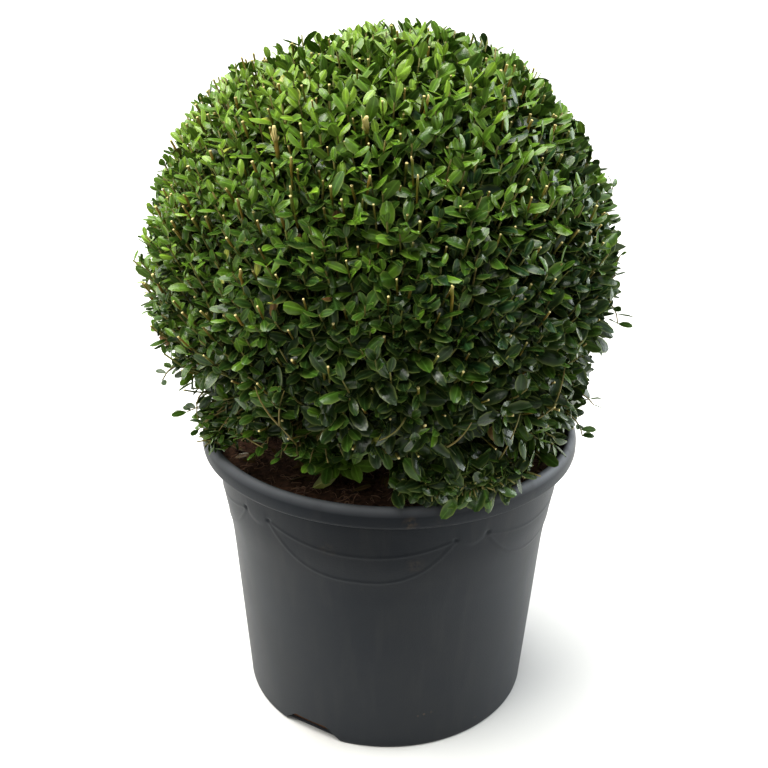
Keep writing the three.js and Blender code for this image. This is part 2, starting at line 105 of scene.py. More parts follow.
def unit(vectors):
    """Each vector over its own length."""
    return vectors / np.maximum(np.linalg.norm(vectors, axis=-1, keepdims=True), 1e-12)


def dot(first, second):
    """The sum of the products of the last axis, kept as an axis."""
    return np.sum(first * second, axis=-1, keepdims=True)


def toward(bearing):
    """A level unit vector at a bearing in degrees, counted from the front (-Y) towards +X."""
    angle = np.radians(np.asarray(bearing, float))
    return np.stack([np.sin(angle), -np.cos(angle), np.zeros_like(angle)], axis=-1)


def bearing_of(points):
    """The bearing in degrees of the level part of each vector."""
    return np.degrees(np.arctan2(points[..., 0], -points[..., 1]))


def level_of(points):
    """The distance of each point from the pot's upright axis."""
    return np.hypot(points[..., 0], points[..., 1])


def place_at(bearing, distance, height):
    """Points at bearings, at distances from the pot's axis and at heights."""
    bearing, distance, height = np.broadcast_arrays(bearing, distance, height)
    return toward(bearing) * distance[..., None] + UP * height[..., None]


def turn_from(middle, bearing, pitch=360.0):
    """The turn in degrees to a bearing from the nearest of the middles that repeat at a pitch."""
    return np.mod(bearing - middle + pitch / 2, pitch) - pitch / 2


def square_to(way, turn):
    """A unit vector square to a way, turned about it by an angle."""
    first = unit(np.cross(way, SLANT))
    return first * np.cos(turn)[..., None] + np.cross(way, first) * np.sin(turn)[..., None]


def on_sphere(height, around):
    """Unit vectors at a height on the sphere and an angle round the upright axis."""
    level = np.sqrt(1 - height**2)
    return np.stack([level * np.cos(around), level * np.sin(around), height], axis=-1)


# %% Noise
WAVES = np.arange(7)


def ripple(points, size, seed):
    """Soft noise from -1 to 1: the mean of sine waves of about one size in scattered directions."""
    ways = on_sphere(1 - 2 * chance(WAVES, seed), 2 * math.pi * chance(WAVES, seed + 0.37))
    pace = (0.7 + 0.6 * chance(WAVES, seed + 0.71)) * 2 * math.pi / size
    phase = 2 * math.pi * chance(WAVES, seed + 0.93)
    return np.sin(points @ (ways * pace[:, None]).T + phase).sum(axis=-1) / math.sqrt(len(WAVES)) / 1.4


# %% A piece from arrays
def make_piece(name, body, materials, nodes=("clipped_ball",)):
    """A mesh object from points in millimetres and arrays of faces, riding on the one body."""
    points, faces = body
    mesh = bpy.data.meshes.new(name)
    mesh.vertices.add(len(points))
    mesh.vertices.foreach_set("co", (points * MM).astype(np.float32).ravel())
    corners = np.concatenate([face.ravel() for face in faces]).astype(np.int32)
    sizes = np.concatenate([np.full(len(face), face.shape[1]) for face in faces])
    starts = np.concatenate([[0], np.cumsum(sizes)[:-1]]).astype(np.int32)
    mesh.loops.add(len(corners))
    mesh.loops.foreach_set("vertex_index", corners)
    mesh.polygons.add(len(sizes))
    mesh.polygons.foreach_set("loop_start", starts)
    mesh.polygons.foreach_set("use_smooth", np.full(len(sizes), True))
    mesh.update(calc_edges=True)
    for material in materials:
        mesh.materials.append(material)
    piece = bpy.data.objects.new(name, mesh)
    bpy.context.scene.collection.objects.link(piece)
    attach(piece, "root")
    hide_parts(*nodes)
    print(name, "has", int((sizes - 2).sum()), "triangles")
    return piece


# %% Rings and tubes
def grid_quads(index):
    """Quads between neighbouring rows of point numbers, with every row closed round."""
    beside = np.roll(index, -1, axis=-1)
    corners = [index[..., :-1, :], beside[..., :-1, :], beside[..., 1:, :], index[..., 1:, :]]
    return np.stack(corners, axis=-1).reshape(-1, 4)


def closed_rings(rings, start, end):
    """A closed body from rings of points, with one more point to close each end."""
    index = np.arange(rings.shape[0] * rings.shape[1]).reshape(rings.shape[:2])
    beside = np.roll(index, -1, axis=1)
    start_cap = np.stack([beside[0], index[0], 0 * index[0] + index.size], axis=-1)
    end_cap = np.stack([index[-1], beside[-1], 0 * index[0] + index.size + 1], axis=-1)
    return np.concatenate([rings.reshape(-1, 3), [start, end]]), [grid_quads(index), start_cap, end_cap]


def tubes(paths, radii, sides):
    """Closed tubes along many paths: a ring of points across each step, and a flat cap at each end."""
    tangent = unit(np.gradient(paths, axis=1))
    start_across = unit(np.cross(tangent[:, :1], SLANT))
    across = unit(start_across - dot(start_across, tangent) * tangent)
    upward = np.cross(tangent, across)
    turn = 2 * math.pi * np.arange(sides) / sides
    ring = across[:, :, None] * np.cos(turn)[:, None] + upward[:, :, None] * np.sin(turn)[:, None]
    points = paths[:, :, None] + radii[:, :, None, None] * ring
    index = np.arange(points.size // 3).reshape(points.shape[:3])
    caps = np.concatenate([index[:, 0, ::-1], index[:, -1]])
    return points.reshape(-1, 3), [grid_quads(index), caps]


def tapered_tubes(paths, foot, tip, sides):
    """Tubes that thin evenly from a radius at the foot of each path to another at its tip."""
    return tubes(paths, np.linspace(foot, tip, paths.shape[1]) * np.ones((len(paths), 1)), sides)


def join(*bodies):
    """Several bodies of points and faces as one, with the faces numbered on."""
    firsts = np.cumsum([0] + [len(points) for points, _ in bodies])
    faces = [face + first for first, (_, body_faces) in zip(firsts, bodies) for face in body_faces]
    return np.concatenate([points for points, _ in bodies]), faces


# %% [markdown]
# ## Finishes
# Each finish is a small node tree round one Principled shader. Noise on Object coordinates gives the
# mottling and the fine bump, so nothing depends on the camera, and numbers that are the same all over
# stay on the shader's own sockets. A few short helpers add the nodes, so a finish reads as what it does.

# %% Node helpers
def feed(tree, socket, value):
    """Joins an input to another node's output, or sets it. A colour gets an alpha of 1."""
    if isinstance(value, bpy.types.NodeSocket):
        tree.links.new(value, socket)
    elif socket.type == "RGBA":
        socket.default_value = (*value, 1.0)
    else:
        socket.default_value = value


def add_node(tree, kind, output, inputs, **settings):
    """One output of a new node, with the node's settings made and its inputs fed by name or number."""
    node = tree.nodes.new(f"ShaderNode{kind}")
    for setting, value in settings.items():
        setattr(node, setting, value)
    for socket, value in inputs.items():
        feed(tree, node.inputs[socket], value)
    return node.outputs[output]


def noise(tree, place, scale, detail):
    """Noise from 0 to 1 with so many patches a metre."""
    return add_node(tree, "TexNoise", "Fac", {"Vector": place, "Scale": scale, "Detail": detail})


def ramp(tree, value, low, high, least, most, **settings):
    """A value mapped from one range to another and held there."""
    inputs = {"Value": value, "From Min": low, "From Max": high, "To Min": least, "To Max": most}
    return add_node(tree, "MapRange", "Result", inputs, **settings)


def work_out(tree, operation, first, second):
    """One step of arithmetic on two numbers."""
    return add_node(tree, "Math", "Value", {0: first, 1: second}, operation=operation)


def measure(tree, operation, first, second):
    """The distance between two places, or the dot product of two directions."""
    return add_node(tree, "VectorMath", "Value", {0: first, 1: second}, operation=operation)


def blend(tree, share, first, second):
    """The first colour, moved towards the second by a share."""
    return add_node(tree, "Mix", "Result", {"Factor": share, "A": first, "B": second}, data_type="RGBA")


# %% Finish helpers
def dress(tree, looks):
    """Feeds the named sockets of a finish's shader."""
    for socket, value in looks.items():
        feed(tree, tree.nodes["Principled BSDF"].inputs[socket], value)


def tint(tree, share, colour):
    """Moves a finish's colour, as it is so far, towards another by a share."""
    so_far = tree.nodes["Principled BSDF"].inputs["Base Color"].links[0].from_socket
    dress(tree, {"Base Color": blend(tree, share, so_far, colour)})


def make_finish(name, colour, second_colour, patch, roughness, bump, bump_size, spread=0.5, **sockets):
    """Two colours mixed by noise of one patch size, roughness between two values, and a fine bump."""
    material = bpy.data.materials.new(name)
    material.use_nodes = True
    tree = material.node_tree
    place = add_node(tree, "TexCoord", "Object", {})
    mottle = noise(tree, place, 1.0 / patch, 4.0)
    share = ramp(tree, mottle, 0.5 - spread / 2, 0.5 + spread / 2, 0.0, 1.0)
    relief = {"Height": noise(tree, place, 1.0 / bump_size, 3.0), "Strength": bump, "Distance": bump_size}
    dress(tree, {
        "Base Color": blend(tree, share, colour, second_colour),
        "Roughness": ramp(tree, mottle, 0.0, 1.0, *roughness),
        "Normal": add_node(tree, "Bump", "Normal", relief),
        **sockets,
    })
    return material


# %% [markdown]
# ## Pot: the wall
# The real pot is injection-moulded plastic: a tapered wall with a stepped collar, a rolled rim, a row of
# hanging festoon arcs on the collar and three drainage notches at the foot. One closed grid makes the
# wall. Each row is a height on the profile and each column a bearing. The relief of the festoon is
# worked into the radius, because a moulded bead flows out of the wall and has no seam.

# %% Pot profile
FOOT_BEVEL = 2.5
FOOT_BEVEL_DEPTH = 2.0
WALL = 3.0
RIM_RADIUS = 160.0
COLLAR_TOP = 233.0
WALL_HEIGHTS = [0.0, 148.0, 166.0, 196.0, COLLAR_TOP]
WALL_RADII = [126.0, 136.8, 138.6, 144.1, 148.5]
COLLAR_ROUNDING = 7.0
NOTCHES = 3
NOTCH_BEARING = -31.0
NOTCH_HEIGHT = 13.5
NOTCH_FLOOR_WIDTH = 61.0
NOTCH_TOP_WIDTH = 30.0
NOTCH_BACK = 119.0
POT_SIDES = 600


def wall_radius(height):
    """Outer radius: straight between the named heights, rounded at the corners and at the foot."""
    nearby = COLLAR_ROUNDING * np.linspace(-1, 1, 5)
    straight = np.mean([np.interp(height + shift, WALL_HEIGHTS, WALL_RADII) for shift in nearby], axis=0)
    below = np.clip(1 - height / FOOT_BEVEL, 0.0, 1.0)
    return straight - FOOT_BEVEL_DEPTH * (1 - np.sqrt(1 - below**2 * 0.999))


def notch_turn(bearing):
    """The turn in degrees from the nearest notch's middle."""
    return turn_from(NOTCH_BEARING, bearing, 360.0 / NOTCHES)


def wall_foot(bearing):
    """Height of the wall's lower edge: a flat-topped notch with slanted sides."""
    aside = np.abs(WALL_RADII[0] * np.sin(np.radians(notch_turn(bearing))))
    slope = (NOTCH_FLOOR_WIDTH - NOTCH_TOP_WIDTH) / 2
    return NOTCH_HEIGHT * np.clip((NOTCH_FLOOR_WIDTH / 2 - aside) / slope, 0.0, 1.0)


# %% Festoon relief
BAYS = 5
BAY_BEARING = -9.8
BAY_HALF_ANGLE = 30.8
SWAG_TOP = 215.0
SWAG_DROPS_AND_POWERS = ((38.5, 3.0), (13.0, 2.2))
BEAD_HEIGHT = 0.42
BEAD_WIDTH = 1.15
TAB_HEIGHT = 0.5
DIMPLE_DEPTH = 1.2
DIMPLE_RADIUS = 1.9
COLLAR_MM_A_DEGREE = 2.5


def festoon(bearing, height):
    """Relief on the collar: two hanging arcs in each bay, a tab between bays, a dimple at each end."""
    pitch = 360.0 / BAYS
    turn = np.abs(turn_from(BAY_BEARING, bearing, pitch))
    share = np.clip(turn / BAY_HALF_ANGLE, 0.0, 1.0)
    relief = np.zeros_like(height)
    for drop, power in SWAG_DROPS_AND_POWERS:
        arc = SWAG_TOP - drop * (1 - share**power)
        slope = drop * power * share ** (power - 1) / (BAY_HALF_ANGLE * COLLAR_MM_A_DEGREE)
        distance = (height - arc) / np.sqrt(1 + slope**2)
        bead = BEAD_HEIGHT * (turn <= BAY_HALF_ANGLE) * np.exp(-((distance / BEAD_WIDTH) ** 2))
        relief = np.maximum(relief, bead)
    aside = (pitch / 2 - turn) * COLLAR_MM_A_DEGREE
    half_tab = (pitch / 2 - BAY_HALF_ANGLE) * COLLAR_MM_A_DEGREE
    tab_reach = (aside / half_tab) ** 2 + (np.clip(219.0 - height, 0.0, None) / 12.0) ** 2
    tab = TAB_HEIGHT * (1 - smoothstep(tab_reach, 0.5, 1.3)) * (1 - smoothstep(height, 214.0, 228.0))
    from_dimple = np.hypot(aside - half_tab - 1.0, height - SWAG_TOP) / DIMPLE_RADIUS
    return np.maximum(relief, tab) - DIMPLE_DEPTH * np.exp(-(from_dimple**4))


# %% Pot wall mesh
NOTCH_ZONE_TOP = 17.0
INNER_FOOT_RADIUS = 123.8
bearings = 360.0 * np.arange(POT_SIDES) / POT_SIDES
foot = wall_foot(bearings)
low_shares = np.array([0.0, 0.03, 0.08, 0.15, 0.3, 0.5, 0.75, 1.0])
high_heights = np.concatenate([
    np.linspace(26.0, 144.0, 11),
    np.linspace(145.8, 170.0, 13),
    np.linspace(171.0, 224.0, 54),
    [226.0, 229.0, 232.0, 234.0],
])
outer_heights = np.concatenate([
    mix(foot, NOTCH_ZONE_TOP, low_shares[:, None]),
    high_heights[:, None] + 0 * foot,
])
outer_radii = wall_radius(outer_heights) + festoon(bearings, outer_heights)
roll = np.radians(np.linspace(6, 90, 9))
rim_profile = [
    (149.3, 235.6), (150.2, 236.7), (151.6, 237.0), (156.8, 237.0), (158.8, 237.3), (159.7, 238.3),
    (160.0, 240.0), (160.0, 243.0),
    *zip(154 + 6 * np.cos(roll), 243.5 + 10.5 * np.sin(roll)),
    (153.2, 253.7), (152.6, 253.0), (152.2, 251.5), (151.5, 248.0), (151.0, 243.0), (149.0, 238.0),
    (145.5, 233.0), (142.2, 205.0), (137.8, 172.0), (133.3, 146.0), (131.8, 120.0), (126.0, 40.0),
    (124.6, 17.0),
]
rim_radii, rim_heights = (np.array(column)[:, None] + 0 * foot for column in zip(*rim_profile))
wall_rings = place_at(
    bearings,
    np.concatenate([outer_radii, rim_radii, INNER_FOOT_RADIUS + 0 * foot[None]]),
    np.concatenate([outer_heights, rim_heights, np.maximum(foot[None], 1.0) + 0.3]),
)
wall_index = np.arange(wall_rings.size // 3).reshape(-1, POT_SIDES)
wall_body = (wall_rings.reshape(-1, 3), [grid_quads(np.concatenate([wall_index, wall_index[:1]]))])

# %% [markdown]
# ## Pot: the floor
# The floor is a flat plate a little inside the wall, cut straight across behind each notch. It is a
# profile of five rings that follow the notches, closed by a point in the middle above and below.

# %% Pot floor mesh
PLATE_RADIUS = 124.2
PLATE_RINGS = [(0.55, 0.0), (0.985, 0.0), (1.0, 0.4), (1.0, WALL), (0.5, WALL)]


def notch_cut(bearing, back, half_angle):
    """Distance of the straight cut behind each notch, and far outside where there is no notch."""
    turn = notch_turn(bearing)
    return back / np.cos(np.radians(turn)) + 60.0 * (np.abs(turn) > half_angle)


plate_edge = np.minimum(PLATE_RADIUS, notch_cut(bearings, NOTCH_BACK, 16.5))
plate_rings = np.stack([place_at(bearings, share * plate_edge, height) for share, height in PLATE_RINGS])
plate_body = closed_rings(plate_rings, 0 * UP, WALL * UP)

# %% [markdown]
# ## Pot: the plastic
# The plastic is a dark slate with a satin skin. A large soft noise moves both the colour and the gloss, and
# a very fine bump keeps the reflections soft. The top of the rim is painted paler: partly scuffs, partly a
# painted highlight along the top of the roll. The collar shines least, faint streaks run down the wall where
# water has dried, and a few spots of compost stick to it.

# %% Pot finish and piece
slate = make_finish(
    "slate_plastic", (0.011, 0.014, 0.019), (0.020, 0.022, 0.025), 0.05, (0.38, 0.52), 0.12, 0.0012,
    **{"Specular Tint": (0.90, 0.95, 1.0)},
)
skin = slate.node_tree
skin_place = skin.nodes["Texture Coordinate"].outputs["Object"]
skin_height = add_node(skin, "SeparateXYZ", "Z", {"Vector": skin_place})
make_piece("pot_shell", join(wall_body, plate_body), [slate], ["pot"])

# %% Wear and a painted highlight on the plastic
# The top band of the rim is painted paler: partly scuffs, partly a painted highlight where the top of the
# roll catches the light.
tint(skin, ramp(skin, skin_height, 0.2470, 0.2530, 0.0, 0.9), (0.140, 0.146, 0.156))
squeezed = add_node(skin, "VectorMath", "Vector", {0: skin_place, 1: (1, 1, 0.14)}, operation="MULTIPLY")
streaks = ramp(skin, noise(skin, squeezed, 75.0, 3.0), 0.52, 0.78, 0.0, 0.45)
tint(skin, streaks, (0.034, 0.034, 0.034))
rim_shine = ramp(skin, skin_height, 0.237, 0.242, 0.22, 0.25)
wall_shine = ramp(skin, skin_height, 0.200, 0.150, 0.0, 0.14)
dress(skin, {"Specular IOR Level": work_out(skin, "ADD", rim_shine, wall_shine)})

# Each mark of compost: its place and size in millimetres, and how strongly it shows.
MARKS = [
    ((16.0, -159.0, 242.5), 7.0, 0.7), ((21.4, -142.7, 195.0), 9.0, 0.28), ((-48.0, -139.0, 205.0), 9.0, 0.2),
    ((32.3, -124.4, 35.4), 1.6, 0.9), ((37.4, -123.0, 36.5), 2.4, 0.8), ((27.3, -125.5, 34.2), 1.2, 0.8),
    ((78.0, -100.0, 11.9), 1.8, 0.7),
]
crumbs = ramp(skin, noise(skin, skin_place, 260.0, 2.0), 0.35, 0.65, 0.0, 1.0)
for place, size, strength in MARKS:
    away = measure(skin, "DISTANCE", skin_place, [coordinate * MM for coordinate in place])
    near = ramp(skin, away, size * MM, 0.2 * size * MM, 0.0, strength)
    tint(skin, work_out(skin, "MULTIPLY", near, crumbs), (0.10, 0.070, 0.042))
print("marks of compost on the pot:", len(MARKS))

# %% [markdown]
# ## Compost
# The pot is filled to just under the rim with fibrous, reddish-brown compost. Only its top shows, in the
# hollow under the ball, so the body is a plain filled shape with a rough top: rings of points lifted by
# noise of three sizes. Loose fibres are scattered on it as short bent tubes.

# %% Compost body
COMPOST_SIDES = 300
COMPOST_RINGS = 120
COMPOST_RADIUS = 144.6
COMPOST_BOTTOM = 3.3
compost_bearings = 360.0 * np.arange(COMPOST_SIDES) / COMPOST_SIDES
side_cut = notch_cut(compost_bearings, NOTCH_BACK - 0.3, 18.0)


def compost_top(points):
    """Height of the compost: a low dome with clods, lumps and grains of noise on it."""
    level = level_of(points)
    dome = np.interp(level, [0, 60, 146], [235.0, 234.6, 230.6])
    flat = points * [1, 1, 0]
    clods = 1.1 * ripple(flat, 42.0, 3) + 0.9 * ripple(flat, 12.0, 5) + 0.7 * ripple(flat, 4.5, 8)
    return dome + (1 - smoothstep(level, 136.0, 145.0)) * clods


shares = (np.arange(COMPOST_RINGS) + 1.0) / COMPOST_RINGS
top_rings = place_at(compost_bearings, COMPOST_RADIUS * shares[:, None] ** 0.9, 0)
top_rings[..., 2] = compost_top(top_rings)
side_profile = [(144.4, 228.0), (137.6, 172.0), (132.8, 145.0)]
low_profile = [(123.9, 16.0), (122.8, COMPOST_BOTTOM), (60.0, COMPOST_BOTTOM)]
side_profile += [(np.minimum(radius, side_cut), height) for radius, height in low_profile]
side_rings = [place_at(compost_bearings, radius, height) for radius, height in side_profile]
compost_rings = np.concatenate([top_rings, side_rings])
compost_points, inward_faces = closed_rings(compost_rings, 235.0 * UP, COMPOST_BOTTOM * UP)
compost_body = compost_points, [face[:, ::-1] for face in inward_faces]

# %% Compost finish and pieces
compost_finish = make_finish(
    "fibrous_compost", (0.022, 0.012, 0.009), (0.20, 0.105, 0.062), 0.004, (0.75, 0.95), 0.8, 0.0011,
    **{"Specular IOR Level": 0.15},
)
make_piece("compost_bed", compost_body, [compost_finish], ["compost"])

FIBRES = np.arange(900)
fibre_middle = place_at(360 * chance(FIBRES, 21), 143 * np.sqrt(chance(FIBRES, 22)), 0)
fibre_way = toward(360 * chance(FIBRES, 23))
fibre_length = 4 + 12 * chance(FIBRES, 24) ** 2
steps = np.linspace(-0.5, 0.5, 6)
fibre_paths = fibre_middle[:, None] + fibre_way[:, None] * (fibre_length[:, None] * steps)[..., None]
bend = fibre_length * 0.9 * (chance(FIBRES, 25) - 0.5)
fibre_side = np.cross(fibre_way, UP)
fibre_paths = fibre_paths + fibre_side[:, None] * (bend[:, None] * (0.25 - steps**2) * 2)[..., None]
fibre_paths *= np.minimum(1.0, 143.5 / level_of(fibre_paths))[..., None]
arch = (0.25 - steps**2) * 8 * chance(FIBRES, 26)[:, None] ** 2
fibre_paths[..., 2] = compost_top(fibre_paths) + 0.2 + arch
fibre_radii = np.repeat((0.18 + 0.3 * chance(FIBRES, 27) ** 2)[:, None], len(steps), axis=1)
fibre_finish = make_finish(
    "compost_fibres", (0.17, 0.095, 0.06), (0.55, 0.34, 0.21), 0.02, (0.7, 0.9), 0.3, 0.0008,
)
make_piece("compost_fibres", tubes(fibre_paths, fibre_radii, 4), [fibre_finish], ["compost"])

# %% [markdown]
# ## The ball's rules
# The shears leave a ball that is not quite round: it stands proud or dips a little in places, spreads at
# its foot to nest in the pot's mouth, and has a hollow under its front left. These are the CAD source's
# own rules, written again for whole arrays, so the finer shoots keep to the same space, a few tips apart.

# %% Space of the ball
BALL_CENTRE = np.array([-8.0, 0.0, 384.0])
BALL_RADIUS = 193.0
SKIRT = 14.0
SKIRT_SHIFT = 0.6
UNDERSIDE = 242.0
POCKET_HEIGHT = 44.0
POCKET_SPREAD = 19.0
HOLLOW_HEIGHT = 64.0
HOLLOW_BEARING = -28.0
HOLLOW_SPREAD = 42.0
LOW_BEARINGS = [-64.0, -21.0, 22.0]
LOW_REACHES = [1.0, 0.82, 1.0]
# Each lump: its direction from the middle of the ball, its height in millimetres and its spread.
LUMPS = [
    ((0.42, 0.37, 0.83), 7, 0.05),
    ((-0.17, 0.41, 0.9), -6, 0.04),
    ((-0.64, 0.32, 0.7), 3, 0.05),
    ((-0.94, -0.14, -0.31), -6, 0.06),
    ((0.97, -0.11, -0.24), -4, 0.05),
]


def bump_round(middle, spread, bearing):
    """A flat-topped bump from 0 to 1: e to the minus fourth power of the turn over its spread."""
    return np.exp(-((turn_from(middle, bearing) / spread) ** 4))


def swelling(direction, lumps):
    """The sum of soft lumps: each height times e to the (cosine of the angle to it - 1) over its spread."""
    return sum(height * np.exp((direction @ np.array(place) - 1) / spread) for place, height, spread in lumps)


def clip_radius(direction):
    """How far the shears left the ball in each direction: its radius, its skirt and its lumps."""
    nested = 1 - bump_round(HOLLOW_BEARING, HOLLOW_SPREAD, bearing_of(direction))
    skirt = SKIRT * (1 + SKIRT_SHIFT * direction[..., 0]) * nested
    return BALL_RADIUS + skirt * smoothstep(-direction[..., 2], 0.3, 0.75) + swelling(direction, LUMPS)


def underside_height(bearing):
    """Height of the ball's underside, raised in the hollow and over the low sprays."""
    raised = HOLLOW_HEIGHT * bump_round(HOLLOW_BEARING, HOLLOW_SPREAD, bearing)
    for middle in LOW_BEARINGS:
        raised = np.maximum(raised, POCKET_HEIGHT * bump_round(middle, POCKET_SPREAD, bearing))
    return UNDERSIDE + raised


def depth_in_ball(points):
    """How far each point stands inside the ball's space, negative outside."""
    offset = points - BALL_CENTRE
    inside = clip_radius(unit(offset)) - np.linalg.norm(offset, axis=-1)
    return np.minimum(inside, points[..., 2] - underside_height(bearing_of(offset)))


def above_pot(points, clearance):
    """Whether each point is clear of the pot and the compost: above them, or well outside the rim."""
    level = level_of(points)
    floor = np.where(level > 146.0, 254.0, 236.5)
    return (points[..., 2] > floor + clearance) | (level > RIM_RADIUS + clearance)


# %% [markdown]
# ## Stem and boughs
# Under the ball a short, stout stem forks into boughs. Box has pale brown bark with shallow furrows that
# run along the limb. Each limb is a tube round a smooth path, with its radius moved in and out by noise
# that is stretched along the limb, so real ridges show in the outline.

# %% Limb paths
STEM_FOOT = np.array([3.0, 4.0, 236.3])
STEM_TOP = np.array([-7.0, 0.0, 306.0])
MAIN_BOUGHS = 6
FIRST_BOUGH_BEARING = 20.0
BOUGH_STARTS = (0.36, 0.58)
BOUGH_DIP = 46.0
CORE_SHARE = 0.88
LOW_BOUGH_START = 0.13
LOW_BOUGH_END = (112.0, 262.0)
SPRAY_MIDDLE = (138.0, 266.0)
SPRAY_TIP = (156.0, 262.0)
LIMB_STEPS = 24


def curve(first, control, last, steps):
    """Parabolas from first to last that set out and arrive in line with a control point."""
    share = np.linspace(0, 1, steps)[:, None]
    first, control, last = (np.asarray(point, float)[..., None, :] for point in (first, control, last))
    return (1 - share) ** 2 * first + 2 * share * (1 - share) * control + share**2 * last


def through(first, middle, last, steps):
    """Parabolas through three points each, with the middle one half way."""
    return curve(first, 2 * middle - (first + last) / 2, last, steps)


def bough_ends():
    """Start, middle and end of the main boughs, from the stem out to the ball's dense middle."""
    index = np.arange(MAIN_BOUGHS)
    bearing = FIRST_BOUGH_BEARING + index * 360.0 / MAIN_BOUGHS + 14 * (chance(index, 11) - 0.5)
    start = mix(STEM_FOOT, STEM_TOP, np.array(BOUGH_STARTS)[index % 2][:, None])
    dip = np.radians(BOUGH_DIP + 8 * chance(index, 12))
    direction = toward(bearing) * np.cos(dip)[:, None] - UP * np.sin(dip)[:, None]
    flat = (BALL_CENTRE[2] - underside_height(bearing) - 5) / np.sin(dip)
    reach = np.minimum(CORE_SHARE * clip_radius(direction), flat) + 2
    end = BALL_CENTRE + direction * reach[:, None]
    return start, (start + end) / 2 - 5 * UP, end


def numbered(name, count):
    """The names of so many CAD nodes in a row."""
    return [f"{name}_{index + 1}" for index in range(count)]


# %% Bark piece
def furrowed(path, radius, sides, seed):
    """A limb with bark: a tube whose radius is moved by noise that is stretched along the limb."""
    points, faces = tubes(path[None], radius[None], sides)
    outward = points.reshape(len(path), sides, 3) - path[:, None]
    turn = 2 * math.pi * np.arange(sides) / sides
    around = np.stack([np.cos(turn), np.sin(turn), 0 * turn], axis=-1)
    length = np.concatenate([[0], np.cumsum(np.linalg.norm(np.diff(path, axis=0), axis=-1))])
    place = around[None] * radius[:, None, None] + UP * (length / 7.0)[:, None, None]
    relief = 1 + 0.10 * ripple(place, 3.2, seed) + 0.07 * ripple(place * 0.6, 3.0, seed + 4)
    return (path[:, None] + outward * relief[..., None]).reshape(-1, 3), faces


stem_share = np.linspace(-0.06, 1.1, 36)
stem_along = np.clip(stem_share, 0, 1)
stem_path = mix(STEM_FOOT, STEM_TOP, stem_share[:, None])
stem_path[:, 0] += 2 * np.sin(np.pi * stem_along)
limbs = [furrowed(stem_path, 9.0 + 8.0 * np.exp(-6 * stem_along), 40, 31)]
bough_start, bough_middle, bough_end = bough_ends()
for index, path in enumerate(through(bough_start, bough_middle, bough_end, LIMB_STEPS)):
    limbs.append(furrowed(path, np.linspace(4.9, 3.2, LIMB_STEPS), 20, 40 + index))
low_start = mix(STEM_FOOT, STEM_TOP, LOW_BOUGH_START)
low_end = place_at(LOW_BEARINGS, LOW_BOUGH_END[0] * np.array(LOW_REACHES), LOW_BOUGH_END[1])
for index, path in enumerate(through(low_start, (low_start + low_end) / 2 + 3 * UP, low_end, LIMB_STEPS)):
    limbs.append(furrowed(path, np.linspace(3.2, 1.9, LIMB_STEPS), 16, 50 + index))

bark = make_finish(
    "box_bark", (0.10, 0.068, 0.042), (0.24, 0.175, 0.11), 0.004, (0.7, 0.9), 0.5, 0.0012,
)
limb_nodes = ["main_stem", *numbered("bough", MAIN_BOUGHS), *numbered("low_bough", len(LOW_BEARINGS))]
make_piece("bark_limbs", join(*limbs), [bark], limb_nodes)

# %% [markdown]
# ## Inner limbs
# From the boughs the tree divides again and again until it carries a shoot at every place on the clipped
# surface. Two layers of forks are spread evenly through the ball by a golden spiral, and each fork grows
# from the nearest one below it, which is how a crown shares out its space.

# %% Layers of forks
GOLDEN_ANGLE = math.pi * (3 - math.sqrt(5))
FIRST_FORKS = 42
SECOND_FORKS = 360


def spiral(count, lowest):
    """Directions spread evenly down to a lowest height: the golden angle round, equal steps down."""
    index = np.arange(count)
    return on_sphere(1 - (1 - lowest) * (index + 0.5) / count, index * GOLDEN_ANGLE)


def nearest(points, parents):
    """The nearest parent of each point."""
    gap = ((points[:, None] - parents[None]) ** 2).sum(axis=-1)
    return parents[gap.argmin(axis=1)]


def fork_layer(count, share, parents, seed):
    """Forks at a share of the clip radius, kept above the underside, each grown from its nearest parent."""
    direction = spiral(count, -0.9)
    wobble = 0.08 * scatter(np.arange(count), seed, seed + 1, seed + 2)
    forks = BALL_CENTRE + (direction + wobble) * (share * clip_radius(direction))[:, None]
    lowest = underside_height(bearing_of(forks - BALL_CENTRE)) + 16
    forks[:, 2] = np.maximum(forks[:, 2], lowest)
    start = nearest(forks, parents)
    middle = (start + forks) / 2 - 0.08 * np.linalg.norm(forks - start, axis=-1)[:, None] * UP
    return forks, through(start, middle, forks, 7)


first_parents = np.concatenate([bough_end, STEM_TOP[None], (bough_middle + bough_end) / 2])
first_forks, first_paths = fork_layer(FIRST_FORKS, 0.48, first_parents, 61)
second_forks, second_paths = fork_layer(SECOND_FORKS, 0.74, first_forks, 66)
inner_bodies = [tapered_tubes(first_paths, 3.0, 1.9, 8), tapered_tubes(second_paths, 1.8, 1.0, 6)]
inner_bark = make_finish(
    "young_bark", (0.13, 0.09, 0.045), (0.24, 0.18, 0.09), 0.01, (0.6, 0.8), 0.3, 0.001,
)
make_piece("inner_limbs", join(*inner_bodies), [inner_bark])

# %% [markdown]
# ## Shoots
# Box carries its leaves in opposite pairs, each pair turned a quarter from the last, on thin, nearly
# upright shoots. A shoot stands at each place of an even spiral over the ball, leans up to the light, and
# is pulled in until its furthest leaf tip just reaches the sheared surface. Then each is let in or out by
# a few millimetres of chance. Shoots on the ball's shoulders stand a little proud, and those low on its
# sides, a little short.

# %% Shoot places and leaf pairs
SHOOTS = 2600
PAIRS = 5
PAIR_DEPTHS = np.array([1.0, 8.0, 16.0, 25.0, 35.0])
PAIR_SPREADS = np.radians([26.0, 44.0, 58.0, 68.0, 76.0])
PAIR_LENGTHS = np.array([12.5, 17.5, 21.0, 21.5, 21.0])
LEAF_LIFT = 0.15
SHOOT_LEAN = 1.3
SHOOT_SCATTER = 0.5
LOWEST_SHOOT = -0.72
